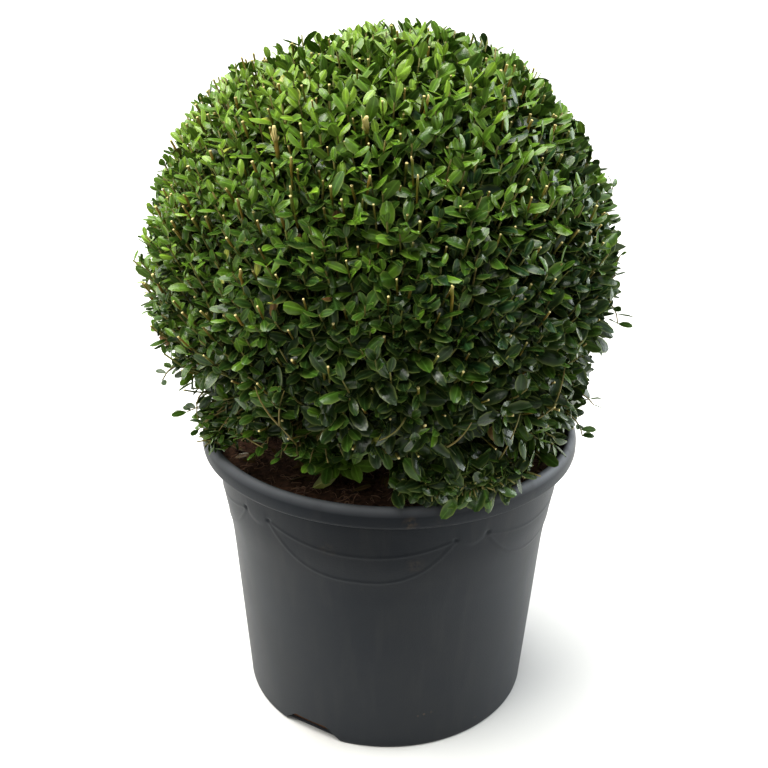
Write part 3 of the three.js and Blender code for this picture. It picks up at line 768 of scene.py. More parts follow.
# Where shoots stand proud of the sheared surface, or short of it: direction, millimetres and spread.
SHOULDERS = [
    ((-0.60, 0.05, 0.80), 9.0, 0.020),
    ((0.61, 0.05, 0.79), 9.0, 0.020),
    ((0.35, 0.09, 0.93), 10.0, 0.015),
    ((-0.30, 0.10, 0.95), -5.0, 0.012),
    ((-0.66, 0.03, 0.75), 5.0, 0.008),
    ((0.96, -0.12, -0.25), -9.0, 0.030),
    ((0.97, -0.24, -0.06), -9.0, 0.014),
    ((0.93, -0.10, 0.37), -2.0, 0.005),
    ((-0.93, -0.29, -0.21), -7.0, 0.020),
    ((-0.79, -0.38, -0.48), -7.0, 0.010),
]

shoot = np.arange(SHOOTS)
outward = spiral(SHOOTS, LOWEST_SHOOT)
lean = SHOOT_LEAN * smoothstep(outward[:, 2:], -0.75, 0.1)
heading = unit(outward + lean * UP + SHOOT_SCATTER * scatter(shoot, 1, 2, 5))
shoot_tips = BALL_CENTRE + outward * clip_radius(outward)[:, None]
quarter = np.arange(PAIRS) * math.pi / 2
pair_turn = (chance(shoot, 3) * math.pi)[:, None] + quarter + 0.3 * (chance(shoot, 6) - 0.5)[:, None]
side_way = square_to(heading[:, None], pair_turn)

leaf = np.arange(SHOOTS * PAIRS * 2).reshape(SHOOTS, PAIRS, 2)
spread_angle = PAIR_SPREADS[:, None] + 0.35 * (chance(leaf, 12) - 0.5)
leaf_heading = heading[:, None, None] * np.cos(spread_angle)[..., None]
leaf_heading = leaf_heading + side_way[:, :, None] * ([1, -1] * np.sin(spread_angle))[..., None]
low = smoothstep(-outward[:, 2], -0.15, 0.45)[:, None, None]
lift = LEAF_LIFT * (1 - 2 * low[..., None])
leaf_heading = unit(leaf_heading + lift * UP + 0.6 * scatter(leaf, 7, 8, 9))
leaf_length = PAIR_LENGTHS[:, None] * (0.64 + 0.50 * chance(leaf, 13))
leaf_length = leaf_length * mix(0.72, 1.04, smoothstep(outward[:, 0], -0.75, 0.0))[:, None, None]
leaf_length = leaf_length * (1 + 0.12 * low)
pair_depth = PAIR_DEPTHS[:, None] * (0.85 + 0.3 * chance(shoot, 14)[:, None, None])
leaf_base = (shoot_tips[:, None] - heading[:, None] * pair_depth)[:, :, None]
leaf_tips = leaf_base + leaf_heading * leaf_length[..., None]

# %% Shoots pulled in to the sheared surface
pull = np.zeros((SHOOTS, 3))
for least in (-40, 0, 0):
    reached = (leaf_tips[:, :2] + pull[:, None, None]).reshape(SHOOTS, 4, 3)
    excess = (-depth_in_ball(reached)).max(axis=1)
    pull = pull - outward * np.clip(excess, least, 40)[:, None]
sunk = 13.0 * chance(shoot, 15) ** 2 - 4.0 + 3.0 * ripple(outward, 0.45, 17)
sunk = sunk - 7.0 * (chance(shoot, 16) > 0.95) - swelling(outward, SHOULDERS)
pull = pull - outward * sunk[:, None]
shoot_tips = shoot_tips + pull
leaf_tips = leaf_tips + pull[:, None, None]
leaf_base = np.broadcast_to(leaf_base + pull[:, None, None], leaf_tips.shape)
print("shoots pulled in by up to", round(float(-(pull * outward).sum(axis=1).min()), 1), "mm")

# %% Leaves that stay
keep_shoot = above_pot(shoot_tips, 1.5) & (depth_in_ball(shoot_tips) > -12)
low_left = smoothstep(-outward[:, 0], 0.0, 0.4) * smoothstep(-outward[:, 1], -0.2, 0.3)
low_left *= smoothstep(-outward[:, 2], -0.1, 0.4)
keep_shoot &= chance(shoot, 20) > 0.05 + 0.1 * (outward[:, 2] < 0.4) + 0.3 * low_left + 0.25 * low[:, 0, 0]
keep_leaf = (depth_in_ball(leaf_tips) > -6.5) & above_pot(leaf_tips, 1.0) & above_pot(leaf_base, 0.5)
keep_leaf &= keep_shoot[:, None, None] & (chance(leaf, 17) > 0.04 + 0.26 * low)
stubbed = (chance(shoot, 18) > 0.68) & keep_shoot
keep_leaf[stubbed, 0] = False
print("leaves kept:", int(keep_leaf.sum()), "of", leaf.size)

# %% [markdown]
# ## Leaf shape
# A box leaf is a small, leathery oval, widest a little past its middle, with a raised midrib and edges
# that turn down. It is a closed shape of 18 points: a rim, a rib above and a rib below. The arrays hold
# all leaves at once, and the rim is marked sharp so that both faces shade smoothly by themselves.

# %% Leaf arrays
STATIONS = np.array([0.13, 0.37, 0.67, 0.91])
HALF_WIDTHS = np.array([0.42, 0.90, 1.0, 0.60]) / 2
LEAF_ALONG = np.concatenate([[0], STATIONS, [1], STATIONS, STATIONS, STATIONS])
LEAF_SIDE = np.concatenate([[0], HALF_WIDTHS, [0], -HALF_WIDTHS, np.zeros(8)])
LEAF_RIB = np.concatenate([np.zeros(10), np.ones(4), -np.ones(4)])
LEAF_TRIANGLES = np.array([
    (0, 10, 1), (13, 5, 4), (0, 6, 10), (9, 5, 13), (0, 1, 14), (17, 4, 5), (0, 14, 6), (9, 17, 5),
])
FIRST_QUADS = np.array([(10, 11, 2, 1), (6, 7, 11, 10), (14, 1, 2, 15), (6, 14, 15, 7)])
LEAF_QUADS = (FIRST_QUADS[:, None] + np.arange(3)[:, None]).reshape(-1, 4)
LEAF_WIDTH_SHARE = 0.47
LEAF_THICKNESS = 0.2


def leaf_points(base, way, face, length, width, droop, fold):
    """18 points a leaf: along by stations, across by half widths, bent down by the square of the station."""
    way = unit(way)
    face = unit(face - dot(face, way) * way)
    side = np.cross(face, way)
    length, width, droop, fold = (np.asarray(value)[..., None] for value in (length, width, droop, fold))
    x = length * LEAF_ALONG
    y = width * LEAF_SIDE
    z = -droop * length * LEAF_ALONG**2 + fold * np.abs(y) + LEAF_THICKNESS * LEAF_RIB
    base, way, side, face = (vector[:, None] for vector in (base, way, side, face))
    return base + way * x[..., None] + side * y[..., None] + face * z[..., None]


# %% [markdown]
# ## Leaf finishes
# Young leaves are yellow-green and old ones deep green, glossy above and paler and duller underneath. One
# maker gives every tone: a fine mottle, and a pale midrib and margin from the attribute, the margin partly
# the leaf's own edge and partly a painted highlight on the turned-down edge, and a waxy coat. The tones are
# dealt out by shoot: fresher on the top and the left, partly new growth and partly painted light where the
# key light falls; deeper on the right, on the front and low down, partly old leaves and partly painted shade.
# A bluer tone on the upper right is partly the leaves' own and partly painted cool light from that side.

# %% Leaf tones
TONES = {
    "deep": (0.010, 0.028, 0.003),
    "dark": (0.017, 0.045, 0.004),
    "mid": (0.036, 0.085, 0.006),
    "fresh": (0.078, 0.155, 0.010),
    "bright": (0.15, 0.25, 0.020),
    "bluish_painted_cool": (0.010, 0.038, 0.007),
    "yellowed": (0.28, 0.30, 0.055),
    "brown": (0.15, 0.085, 0.03),
}
MARGIN_AND_HIGHLIGHT_TONE = np.array([0.26, 0.32, 0.09])
UNDER_TONE = np.array([0.09, 0.15, 0.04])


def make_leaf_finish(name, colour, roughness, coat):
    """A leaf's skin: a tone with a small mottle, a paler midrib, a paler margin that is partly painted
    highlight, and a waxy coat.
    """
    paler = np.minimum(1.0, 1.25 * colour + 0.01)
    material = make_finish(
        name, 0.75 * colour, paler, 0.006, roughness, 0.15, 0.0016,
        **{"Specular IOR Level": 0.28, "Coat Weight": coat, "Coat Roughness": 0.16},
    )
    tree = material.node_tree
    rib = add_node(tree, "Attribute", "Fac", {}, attribute_name="midrib")
    tint(tree, work_out(tree, "POWER", rib, 9.0), 1.9 * colour + 0.018)
    # The margin is painted paler: partly the leaf's own edge, partly a painted highlight where the
    # turned-down edge catches the light.
    edge = work_out(tree, "SUBTRACT", 1.0, rib)
    tint(tree, work_out(tree, "POWER", edge, 5.0), mix(colour, MARGIN_AND_HIGHLIGHT_TONE, 0.5))
    return material


leaf_finishes = {}
for tone, colour in TONES.items():
    colour = np.array(colour)
    upper = make_leaf_finish(f"leaf_{tone}", colour, (0.16, 0.30), 0.1)
    under = make_leaf_finish(f"leaf_{tone}_underside", mix(colour, UNDER_TONE, 0.25), (0.5, 0.65), 0.0)
    leaf_finishes[tone] = [upper, under]
print("leaf tones:", *leaf_finishes)


# %% Leaf piece
def leaf_piece(name, points, tone, nodes=("clipped_ball",)):
    """One piece from many leaves, with its rims sharp and the midrib told by an attribute."""
    count = len(points)
    first = len(LEAF_RIB) * np.arange(count)[:, None, None]
    faces = [(first + LEAF_TRIANGLES).reshape(-1, 3), (first + LEAF_QUADS).reshape(-1, 4)]
    mesh = make_piece(name, (points.reshape(-1, 3), faces), leaf_finishes[tone], nodes).data
    under = [np.repeat([False, True], len(table) // 2) for table in (LEAF_TRIANGLES, LEAF_QUADS)]
    under = np.concatenate([np.tile(half, count) for half in under])
    mesh.polygons.foreach_set("material_index", under.astype(np.int32))
    ends = np.empty(len(mesh.edges) * 2, np.int32)
    mesh.edges.foreach_get("vertices", ends)
    sharp = (LEAF_RIB[ends % len(LEAF_RIB)] == 0).reshape(-1, 2).all(axis=1)
    mesh.attributes.new("sharp_edge", "BOOLEAN", "EDGE").data.foreach_set("value", sharp)
    rib = np.tile((LEAF_RIB != 0) | (LEAF_ALONG == 0) | (LEAF_ALONG == 1), count).astype(np.float32)
    mesh.attributes.new("midrib", "FLOAT", "POINT").data.foreach_set("value", rib)


# %% Deal the tones out by shoot and make the leaves
TONE_STEPS = [0.14, 0.34, 0.58, 0.88]
LEAVES_A_PIECE = 6000
kept = keep_leaf.ravel()
number = leaf.ravel()[kept]
shoot_of = number // (PAIRS * 2)
pair_of = (number // 2) % PAIRS
out_x, out_y, out_z = outward[shoot_of].T
lowness = low[shoot_of, 0, 0]
# Fresher on the top and the left, partly new growth and partly painted light where the key light falls; less
# fresh on the right and facing the front, partly old leaves and partly painted shade.
freshness_and_painted_light = 0.38 + 0.46 * out_z - 0.19 * out_x - 0.12 * smoothstep(-out_y, 0.6, 0.95)
freshness_and_painted_light = freshness_and_painted_light + 0.5 * (chance(shoot_of, 31) - 0.5)
freshness_and_painted_light = freshness_and_painted_light + (0.2 + 0.45 * lowness) * (chance(number, 32) - 0.5) + 0.14 * lowness
# Deeper pairs are older and less fresh, and the low left is made less fresh as painted shade.
freshness_and_painted_light = freshness_and_painted_light - 0.07 * pair_of + 0.08 - 0.12 * low_left[shoot_of]
tone_of = np.digitize(freshness_and_painted_light, TONE_STEPS)
# A bluer tone dealt to the upper right: partly the leaves' own tone, partly painted cool light from the
# right.
bluish_painted_cool = (out_x > 0.1) & (out_z > 0.0) & (chance(shoot_of, 33) < 0.4) & (tone_of < 3)
yellowed = chance(number, 34) > 0.997 - 0.004 * (out_x < -0.3)
brown = chance(number, 35) > 0.998
for tone, chosen in (("bluish_painted_cool", bluish_painted_cool), ("yellowed", yellowed), ("brown", brown)):
    tone_of[chosen] = list(TONES).index(tone)

flat_face = heading[shoot_of] + 0.15 * outward[shoot_of] + 0.2 * UP
flat_face = flat_face + (1.3 + 0.7 * lowness[:, None]) * scatter(number, 36, 37, 38)
flat_length = leaf_length.ravel()[kept]
all_leaf_points = leaf_points(
    leaf_base.reshape(-1, 3)[kept],
    leaf_heading.reshape(-1, 3)[kept],
    flat_face,
    flat_length,
    flat_length * LEAF_WIDTH_SHARE * (0.88 + 0.26 * chance(number, 41)),
    0.04 + 0.4 * chance(number, 42),
    -0.80 + 1.2 * chance(number, 43),
)
for index, tone in enumerate(TONES):
    chosen = np.flatnonzero(tone_of == index)
    for part, start in enumerate(range(0, len(chosen), LEAVES_A_PIECE)):
        group = all_leaf_points[chosen[start:start + LEAVES_A_PIECE]]
        leaf_piece(f"ball_leaves_{tone}_{part + 1}", group, tone)


# %% [markdown]
# ## Inner leaves
# Older leaves stay on deeper in the shade. They are few and dark, but they close the view through the ball.

# %% Inner leaf piece
INNER_LEAVES = 3600
inner = np.arange(INNER_LEAVES)
inner_out = spiral(INNER_LEAVES, -0.86)
inner_base = BALL_CENTRE + inner_out * ((0.66 + 0.14 * chance(inner, 111)) * clip_radius(inner_out))[:, None]
inner_way = inner_out + UP + 1.6 * scatter(inner, 112, 113, 114)
inner_face = inner_out + 1.2 * scatter(inner, 116, 117, 118)
inner_size = 19 + 5 * chance(inner, 115)
inner_fold = -0.2 + 0.4 * chance(inner, 119)
inner_points = leaf_points(inner_base, inner_way, inner_face, inner_size, inner_size * 0.5, 0.1, inner_fold)
inner_kept = (depth_in_ball(inner_points) > 8).all(axis=1) & above_pot(inner_points, 3.0).all(axis=1)
leaf_piece("ball_inner_leaves", inner_points[inner_kept], "deep")

# %% [markdown]
# ## Twigs of the ball
# Each shoot is a thin stem that springs from the nearest fork and bends up into its own heading. Green and
# brown in patches, it is a four-sided tube, since hundreds of them only show between leaves.

# %% Shoot stems
stem_ends = shoot_tips[keep_shoot]
stem_heads = heading[keep_shoot]
stem_starts = nearest(stem_ends - 40 * stem_heads, second_forks)
shoot_paths = curve(stem_starts, stem_ends - 42 * stem_heads, stem_ends, 7)
shoot_bark = make_finish(
    "green_shoot", (0.12, 0.15, 0.022), (0.22, 0.17, 0.045), 0.012, (0.45, 0.6), 0.2, 0.001,
)
make_piece("ball_shoots", tapered_tubes(shoot_paths, 1.15, 0.65, 4), [shoot_bark])

# %% [markdown]
# ## Cut stubs
# Shearing leaves pale cut ends all over the ball. A stub is a short tube at the end of a shoot that has
# lost its last leaves: olive to tan on its side and cream where the blade went through. An attribute that
# is 1 at the cut end tells the finish where to turn pale. A few older shoots left thick ends, the
# thickest of them torn into splinters.

# %% Stub finish
cut_wood = make_finish(
    "cut_wood", (0.105, 0.130, 0.012), (0.22, 0.145, 0.020), 0.02, (0.5, 0.7), 0.3, 0.0008, 0.2,
    **{"Specular IOR Level": 0.25},
)
cut_share = add_node(cut_wood.node_tree, "Attribute", "Fac", {}, attribute_name="cut")
tint(cut_wood.node_tree, cut_share, (0.72, 0.62, 0.29))


def stub_piece(name, paths, radii, sides, paleness):
    """Stubs as one piece, with the paleness of each step of their paths told by an attribute."""
    mesh = make_piece(name, tubes(paths, radii, sides), [cut_wood]).data
    values = np.broadcast_to(np.asarray(paleness)[..., None], (*paths.shape[:2], sides))
    mesh.attributes.new("cut", "FLOAT", "POINT").data.foreach_set("value", values.astype(np.float32).ravel())


# %% Stub pieces
STUB_STEPS = np.array([0.0, 0.5, 0.93, 1.0])
stub_shoots = np.flatnonzero(stubbed)
stub_heads = heading[stub_shoots]
stub_tip = shoot_tips[stub_shoots] + stub_heads * (7 * chance(stub_shoots, 51) - 1)[:, None]
stub_foot = stub_tip - stub_heads * (10 + 8 * chance(stub_shoots, 52))[:, None]
stub_paths = mix(stub_foot[:, None], stub_tip[:, None], STUB_STEPS[:, None])
stub_radii = (0.7 + 0.45 * chance(stub_shoots, 53) ** 2)[:, None] * [1.0, 0.95, 1.0, 1.05]
stub_piece("ball_cut_stubs", stub_paths, stub_radii, 6, [0, 0, 0.15, 1])

# %% Thick cuts
# Each cut: its direction from the middle of the ball, and its radius in millimetres.
THICK_CUTS = np.array([
    (-0.38, -0.58, 0.72, 2.0), (-0.06, -0.64, 0.77, 2.1), (0.43, -0.41, 0.80, 1.3),
    (-0.485, -0.83, 0.285, 1.4), (0.237, -0.933, 0.27, 1.5), (-0.309, -0.703, 0.64, 1.2),
    (-0.309, -0.77, 0.558, 1.0), (-0.498, -0.71, 0.497, 1.1), (-0.042, -0.796, 0.604, 1.1),
    (0.119, -0.788, 0.604, 1.0), (0.154, -0.545, 0.824, 1.1), (0.097, -0.748, 0.656, 1.0),
    (0.62, 0.2, 0.76, 1.4), (-0.3, 0.66, 0.69, 1.7), (0.16, 0.9, 0.41, 1.4), (-0.83, 0.35, 0.43, 1.3),
])
CUT_STEPS = np.array([0.0, 0.45, 0.70, 0.80, 0.90, 0.97, 1.0])
CUT_SWELLING = np.array([0.72, 0.72, 0.76, 0.95, 0.92, 0.7, 0.45])
TORN_RADIUS = 1.65
SPLINTERS_A_CUT = 10
thick_count = np.arange(len(THICK_CUTS))
thick_width = THICK_CUTS[:, 3:]
thick_out = unit(THICK_CUTS[:, :3])
thick_tip = BALL_CENTRE + thick_out * (clip_radius(thick_out) + 1.5)[:, None]
thick_lean = 0.35 * thick_out + 0.3 * scatter(thick_count, 54, 55, 56)
thick_foot = thick_tip - unit(UP + thick_lean) * (26 + 10 * chance(thick_count, 57))[:, None]
thick_paths = mix(thick_foot[:, None], thick_tip[:, None], CUT_STEPS[:, None])
knots = scatter(thick_count[:, None] * 7 + np.arange(7), 58, 59, 60)
thick_paths = thick_paths + 0.8 * thick_width[..., None] * knots
torn_paleness = (thick_width > TORN_RADIUS) * np.array([0, 0, 0.05, 0.3, 0.5, 0.7, 1])
thick_paleness = np.maximum(torn_paleness, [0, 0, 0, 0, 0.1, 0.4, 1])
stub_piece("ball_thick_cuts", thick_paths, thick_width * CUT_SWELLING, 8, thick_paleness)

torn = np.repeat(np.flatnonzero(thick_width[:, 0] > TORN_RADIUS), SPLINTERS_A_CUT)
splinter = np.arange(len(torn))
splinter_way = thick_tip[torn] - thick_foot[torn]
splinter_side = np.cross(unit(splinter_way), toward(360 * chance(splinter, 152)))
splinter_foot = thick_foot[torn] + 0.66 * splinter_way + 0.9 * splinter_side
splinter_tip = thick_foot[torn] + (0.74 + 0.34 * chance(splinter, 153))[:, None] * splinter_way
splinter_tip = splinter_tip + splinter_side * (0.6 + 2.8 * chance(splinter, 154))[:, None]
splinter_middle = (splinter_foot + splinter_tip) / 2 + 0.5 * splinter_side
splinter_paths = through(splinter_foot, splinter_middle, splinter_tip, 5)
splinter_radii = np.array([0.7, 0.62, 0.5, 0.36, 0.15]) * np.ones((len(torn), 1))
stub_piece("ball_torn_splinters", splinter_paths, splinter_radii, 5, [0.1, 0.5, 0.8, 0.9, 1])

# %% [markdown]
# ## Bare twigs
# A few twigs show bare on the front, where they grow past their neighbours. Thin leafy ones fill the hollow
# under the ball, and a few sprigs that the shears missed stand out of its sides.

# %% Bare twig pieces
# Each twig and sprig: where it starts, a place half way and where it ends.
BARE_TWIGS = np.array([
    ((-66, -150, 300), (-70, -164, 314), (-78, -167, 326)),
    ((-78, -167, 326), (-88, -169, 341), (-94, -167, 356)),
    ((-78, -167, 326), (-77, -172, 342), (-73, -176, 357)),
    ((-112, -135, 306), (-101, -143, 301), (-89, -148, 297)),
    ((77, -129, 274), (86, -144, 302), (92, -153, 332)), ((40, -169, 312), (49, -173, 322), (56, -172, 333)),
    ((107, -136, 319), (117, -132, 325), (125, -125, 331)),
    ((118, -128, 322), (122, -133, 340), (124, -134, 359)),
    ((10, -180, 340), (2, -184, 330), (-10, -181, 322)),
])
SPRIGS = np.array([
    ((158, -36, 368), (168, -38, 375), (176, -40, 387)), ((160, -46, 376), (171, -50, 376), (177, -51, 361)),
    ((138, -62, 308), (150, -67, 308), (160, -73, 301)), ((138, -72, 294), (147, -77, 288), (152, -80, 277)),
    ((162, -28, 394), (172, -30, 401), (178, -31, 411)),
    ((-156, -58, 326), (-170, -63, 325), (-179, -68, 315)),
    ((-144, -66, 306), (-152, -70, 299), (-151, -77, 283)), ((166, 10, 430), (172, 8, 441), (174, 5, 455)),
    ((-110, -60, 266), (-121, -71, 266), (-130, -82, 261)),
])
bare_paths = through(*BARE_TWIGS.transpose(1, 0, 2), 7)
twig_bark = make_finish(
    "twig_bark", (0.12, 0.125, 0.022), (0.24, 0.165, 0.045), 0.016, (0.5, 0.7), 0.3, 0.001,
)
make_piece("ball_bare_twigs", tapered_tubes(bare_paths, 0.8, 0.4, 6), [twig_bark])

# %% Hanging twigs and sprigs
HANGING = np.arange(120)
hang_bearing = -68 + 50 * chance(HANGING, 121)
hang_level = 96 + 58 * np.sqrt(chance(HANGING, 122))
hang_top = place_at(hang_bearing, hang_level, underside_height(hang_bearing) + 10)
hang_dip = 0.4 + 0.9 * chance(HANGING, 124)
hang_way = toward(hang_bearing + 140 * (chance(HANGING, 123) - 0.5)) - hang_dip[:, None] * UP
hang_tip = hang_top + unit(hang_way) * (12 + 24 * chance(HANGING, 125))[:, None]
hang_paths = through(hang_top, (hang_top + hang_tip) / 2 + 2.0 * toward(hang_bearing), hang_tip, 6)
hang_paths = np.concatenate([hang_paths[above_pot(hang_tip, 4.0)], through(*SPRIGS.transpose(1, 0, 2), 6)])
make_piece("ball_hanging_twigs", tapered_tubes(hang_paths, 0.8, 0.45, 4), [twig_bark])

hang_leaves = []
for place in range(6):
    count = np.arange(len(hang_paths)) + 1000 * place
    base = hang_paths[:, 5 - place // 2]
    side = toward(360 * chance(count, 126)) + 0.5 * unit(base - hang_paths[:, 0]) + 0.3 * UP
    face = UP + 0.8 * toward(360 * chance(count, 128))
    size = 7 + 7 * chance(count, 127)
    points = leaf_points(base, side, face, size, size * LEAF_WIDTH_SHARE, 0.1, 0.3 * chance(count, 129))
    hang_leaves.append(points[above_pot(points, 0.8).all(axis=1) & (chance(count, 130) > 0.3)])
hang_leaves = np.concatenate(hang_leaves)
hang_tone = np.digitize(chance(np.arange(len(hang_leaves)), 131), [0.45, 0.8])
for index, tone in enumerate(("dark", "mid", "fresh")):
    leaf_piece(f"hanging_leaves_{tone}", hang_leaves[hang_tone == index], tone)


# %% [markdown]
# ## Fallen leaves
# Old leaves lie on the compost: one still yellow-green, the others brown and curled.

# %% Fallen leaf pieces
FALLEN = np.arange(46)
fallen_base = place_at(-75 + 90 * chance(FALLEN, 141), 80 + 58 * chance(FALLEN, 142), 0)
fallen_base[:2] = [(-61.0, -93.0, 0.0), (-30.0, -98.0, 0.0)]
fallen_base[:, 2] = compost_top(fallen_base) + 1.2 + 2.0 * chance(FALLEN, 146)
fallen_way = toward(360 * chance(FALLEN, 143)) + 0.25 * chance(FALLEN, 144)[:, None] * UP
fallen_way[0] = (0.85, 0.05, 0.42)
fallen_face = UP + 0.7 * scatter(FALLEN, 147, 148, 149)
fallen_face[0] = (-0.2, -0.6, 0.75)
fallen_size = 8 + 8 * chance(FALLEN, 145)
fallen_size[:2] = (24.0, 17.0)
fallen_points = leaf_points(
    fallen_base, fallen_way, fallen_face, fallen_size, fallen_size * 0.5,
    -0.1 - 0.2 * chance(FALLEN, 150), 0.2 + 0.5 * chance(FALLEN, 151),
)
fallen_kept = above_pot(fallen_points, -2.5).all(axis=1)
fallen_kept &= (fallen_points[..., 2] > compost_top(fallen_points) + 0.2).all(axis=1)
leaf_piece("fallen_leaf_pale", fallen_points[:1], "yellowed", ["compost"])
leaf_piece("fallen_leaves", fallen_points[1:][fallen_kept[1:]], "brown", ["compost"])

# %% [markdown]
# ## Low sprays
# Three leafy sprays lie low over the compost and the rim, where the shears do not reach. Each grows on
# from a low bough: a drooping stem, twigs to both sides of it, and pairs of leaves along every twig.

# %% Low spray rule
LOW_SECTORS = [19.5, 19.5, 23.0]
SPRAY_TWIGS = [40, 30, 190]
SPRAY_FANS = [0.0, 3.0, 17.0]
SPRAY_RISES = [-0.3, 0.5, -0.3]
SPRAY_LEAF_SHARES = [0.65, 1.1, 1.12]
SPRAY_LOWEST = [0, 264, 0]
# How many tones each spray's leaves are moved up. The middle spray is lifted to fresher tones as painted
# light, where little light reaches it under the ball.
SPRAY_TONES_AND_PAINTED_LIGHT = [1, 2, 0]
SPRAY_REACH = 167
STEM_STEPS = 40


def spray_twigs(index):
    """The stem of one spray, and the roots, tips, ways and counts of the twigs along it and to its sides."""
    bearing = LOW_BEARINGS[index]
    count = np.arange(SPRAY_TWIGS[index]) + 100 * index
    reach = LOW_REACHES[index]
    middle = place_at(bearing, SPRAY_MIDDLE[0] * reach, SPRAY_MIDDLE[1])
    stem_tip = place_at(bearing + 4, SPRAY_TIP[0] * reach, SPRAY_TIP[1])
    stem = through(low_end[index], middle, stem_tip, STEM_STEPS)
    share = 0.02 + 0.95 * chance(count, 71)
    fan = SPRAY_FANS[index] * (2 * chance(count, 77) - 1)
    root = stem[(share * (STEM_STEPS - 1)).astype(int)]
    root = place_at(bearing_of(root) + fan, level_of(root), root[:, 2] + 6 * chance(count, 78))
    rise = SPRAY_RISES[index] + 1.5 * chance(count, 73)
    way = unit(toward(bearing + 150 * (chance(count, 72) - 0.5)) + rise[:, None] * UP)
    length = 10 + 24 * chance(count, 74) * (1 - 0.5 * share)
    return stem, root, root + way * length[:, None], way, count


def spray_pair(index, root, tip, way, count, pair, along):
    """The leaves of one pair on every twig: their points, on one side and then on the other."""
    turn = math.pi * chance(count, 75) + pair * math.pi / 2
    angle = math.radians(42 + 12 * pair)
    length = (14.0 + 6 * chance(count, 86 + pair)) * SPRAY_LEAF_SHARES[index]
    first = 90 + 5 * pair
    face = way + 0.7 * UP + 1.2 * scatter(count, first, first + 1, first + 2)
    droop, fold = 0.08 + 0.3 * chance(count, 80 + pair), -0.5 + 0.8 * chance(count, 83 + pair)
    for sign in (1, -1):
        lead = way * math.cos(angle) + sign * square_to(way, turn) * math.sin(angle)
        yield leaf_points(mix(root, tip, along), lead, face, length, length * 0.5, droop, fold)


# %% Low spray pieces
spray_bodies, spray_leaves = [], []
for index, bearing in enumerate(LOW_BEARINGS):
    stem, root, tip, way, count = spray_twigs(index)
    twig_kept = np.zeros(len(count), bool)
    for pair, along in enumerate((1.0, 0.68, 0.38)):
        for points in spray_pair(index, root, tip, way, count, pair, along):
            clear = above_pot(points, 0.6) & (depth_in_ball(points) < 12)
            clear &= np.abs(turn_from(bearing, bearing_of(points))) < LOW_SECTORS[index]
            clear &= (level_of(points) < SPRAY_REACH) & (points[..., 2] > SPRAY_LOWEST[index])
            stays = clear.all(axis=1)
            twig_kept |= stays
            tone = np.digitize(chance(count[stays], 106 + pair), [0.4, 0.8]) + SPRAY_TONES_AND_PAINTED_LIGHT[index]
            spray_leaves += zip(np.minimum(tone, 3), points[stays])
    twig_paths = through(root, (root + tip) / 2 + 1.0 * UP, tip, 5)[twig_kept]
    spray_bodies += [tapered_tubes(stem[None, ::4], 1.9, 0.8, 6), tapered_tubes(twig_paths, 0.8, 0.5, 4)]
low_sprays = numbered("low_spray", len(LOW_BEARINGS))
make_piece("low_spray_twigs", join(*spray_bodies), [shoot_bark], low_sprays)
for index, tone in enumerate(("deep", "dark", "mid", "fresh")):
    group = np.array([points for number, points in spray_leaves if number == index])
    leaf_piece(f"low_leaves_{tone}", group, tone, low_sprays)


# %% [markdown]
# ## Floor and light
# The picture is a plain studio shot. A large soft light stands high on the left, with a weak box on that
# side, a cooler one on the right and two small lamps in front, and the white surround is brightest above and
# behind. The floor is white paper with a faint glow. In front, where the picture ends, a patch of painted
# shade darkens the paper, so that the pot's front reflects it and stays deep. The floor is stage, not part of
# the plant. Exposure and gamma stand for the camera's own response.

# %% Floor
FLOOR_REACH = 40.0
PAINTED_SHADE_MIDDLE = (-0.14, -0.85, 0.0)
corners = [(x * FLOOR_REACH, y * FLOOR_REACH, 0) for x, y in ((-1, -1), (1, -1), (1, 1), (-1, 1))]
floor_mesh = bpy.data.meshes.new("floor")
floor_mesh.from_pydata(corners, [], [(0, 1, 2, 3)])
floor = bpy.data.objects.new("floor", floor_mesh)
bpy.context.scene.collection.objects.link(floor)
paper = bpy.data.materials.new("white_paper")
paper.use_nodes = True
sheet = paper.node_tree
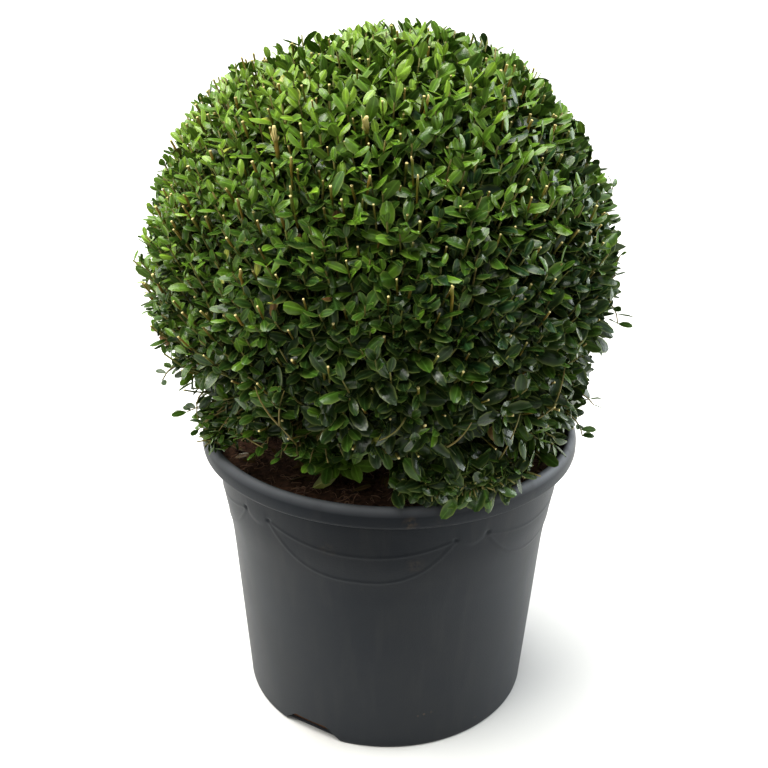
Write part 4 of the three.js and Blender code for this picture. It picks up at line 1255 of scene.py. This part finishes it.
# A dark patch of painted shade on the paper in front, fading out to the white beyond.
away = measure(sheet, "DISTANCE", add_node(sheet, "TexCoord", "Object", {}), PAINTED_SHADE_MIDDLE)
outside_painted_shade = ramp(sheet, away, 0.42, 0.66, 0.0, 1.0, interpolation_type="SMOOTHSTEP")
white = blend(sheet, outside_painted_shade, (0.12, 0.12, 0.12), (0.645, 0.645, 0.63))
dress(sheet, {"Base Color": white, "Roughness": 0.6, "Emission Color": white, "Emission Strength": 0.03})
floor_mesh.materials.append(paper)

# %% Surround
world = bpy.data.worlds.new("studio")
bpy.context.scene.world = world
world.use_nodes = True
sky = world.node_tree
sky_side = measure(sky, "DOT_PRODUCT", add_node(sky, "TexCoord", "Generated", {}), (-0.10, 0.60, 0.79))
sky_strength = ramp(sky, sky_side, -0.35, 0.95, 0.06, 0.9, interpolation_type="SMOOTHSTEP")
feed(sky, sky.nodes["Background"].inputs["Color"], (0.96, 0.98, 1.0))
feed(sky, sky.nodes["Background"].inputs["Strength"], sky_strength)

# %% Lights
LIGHT_TARGET = Vector((0.0, 0.0, 0.3))
# Each soft box and lamp: its place and size in metres, its power in watts and its colour.
SOFT_LIGHTS = {
    "left_box": ((-1.7, 0.1, 0.9), (1.0, 1.4), 3.5, (1.0, 0.99, 0.96)),
    "right_box": ((1.7, 0.3, 0.8), (1.0, 1.2), 24.0, (0.94, 0.98, 1.0)),
    "lamp": ((-0.3, -0.7, 1.9), (0.3, 0.3), 5.0, (1.0, 1.0, 0.96)),
    "front_lamp": ((-0.35, -1.4, 1.15), (0.3, 0.3), 1.7, (1.0, 1.0, 0.96)),
}


def add_light(name, kind, place, power, colour):
    """A light whose own -Z looks at the plant."""
    data = bpy.data.lights.new(name, kind)
    data.energy, data.color = power, colour
    light = bpy.data.objects.new(name, data)
    turn = (Vector(place) - LIGHT_TARGET).to_track_quat("Z", "Y")
    light.matrix_world = Matrix.Translation(place) @ turn.to_matrix().to_4x4()
    bpy.context.scene.collection.objects.link(light)
    return light


add_light("key", "SUN", (-0.75, 0.1, 2.4), 4.2, (1.0, 0.98, 0.94)).data.angle = math.radians(58)
for name, (place, size, power, colour) in SOFT_LIGHTS.items():
    box = add_light(name, "AREA", place, power, colour)
    box.data.shape = "RECTANGLE"
    box.data.size, box.data.size_y = size
    box.visible_camera = False

view = bpy.context.scene.view_settings
view.view_transform = "Standard"
view.exposure = 0.38
view.gamma = 0.86
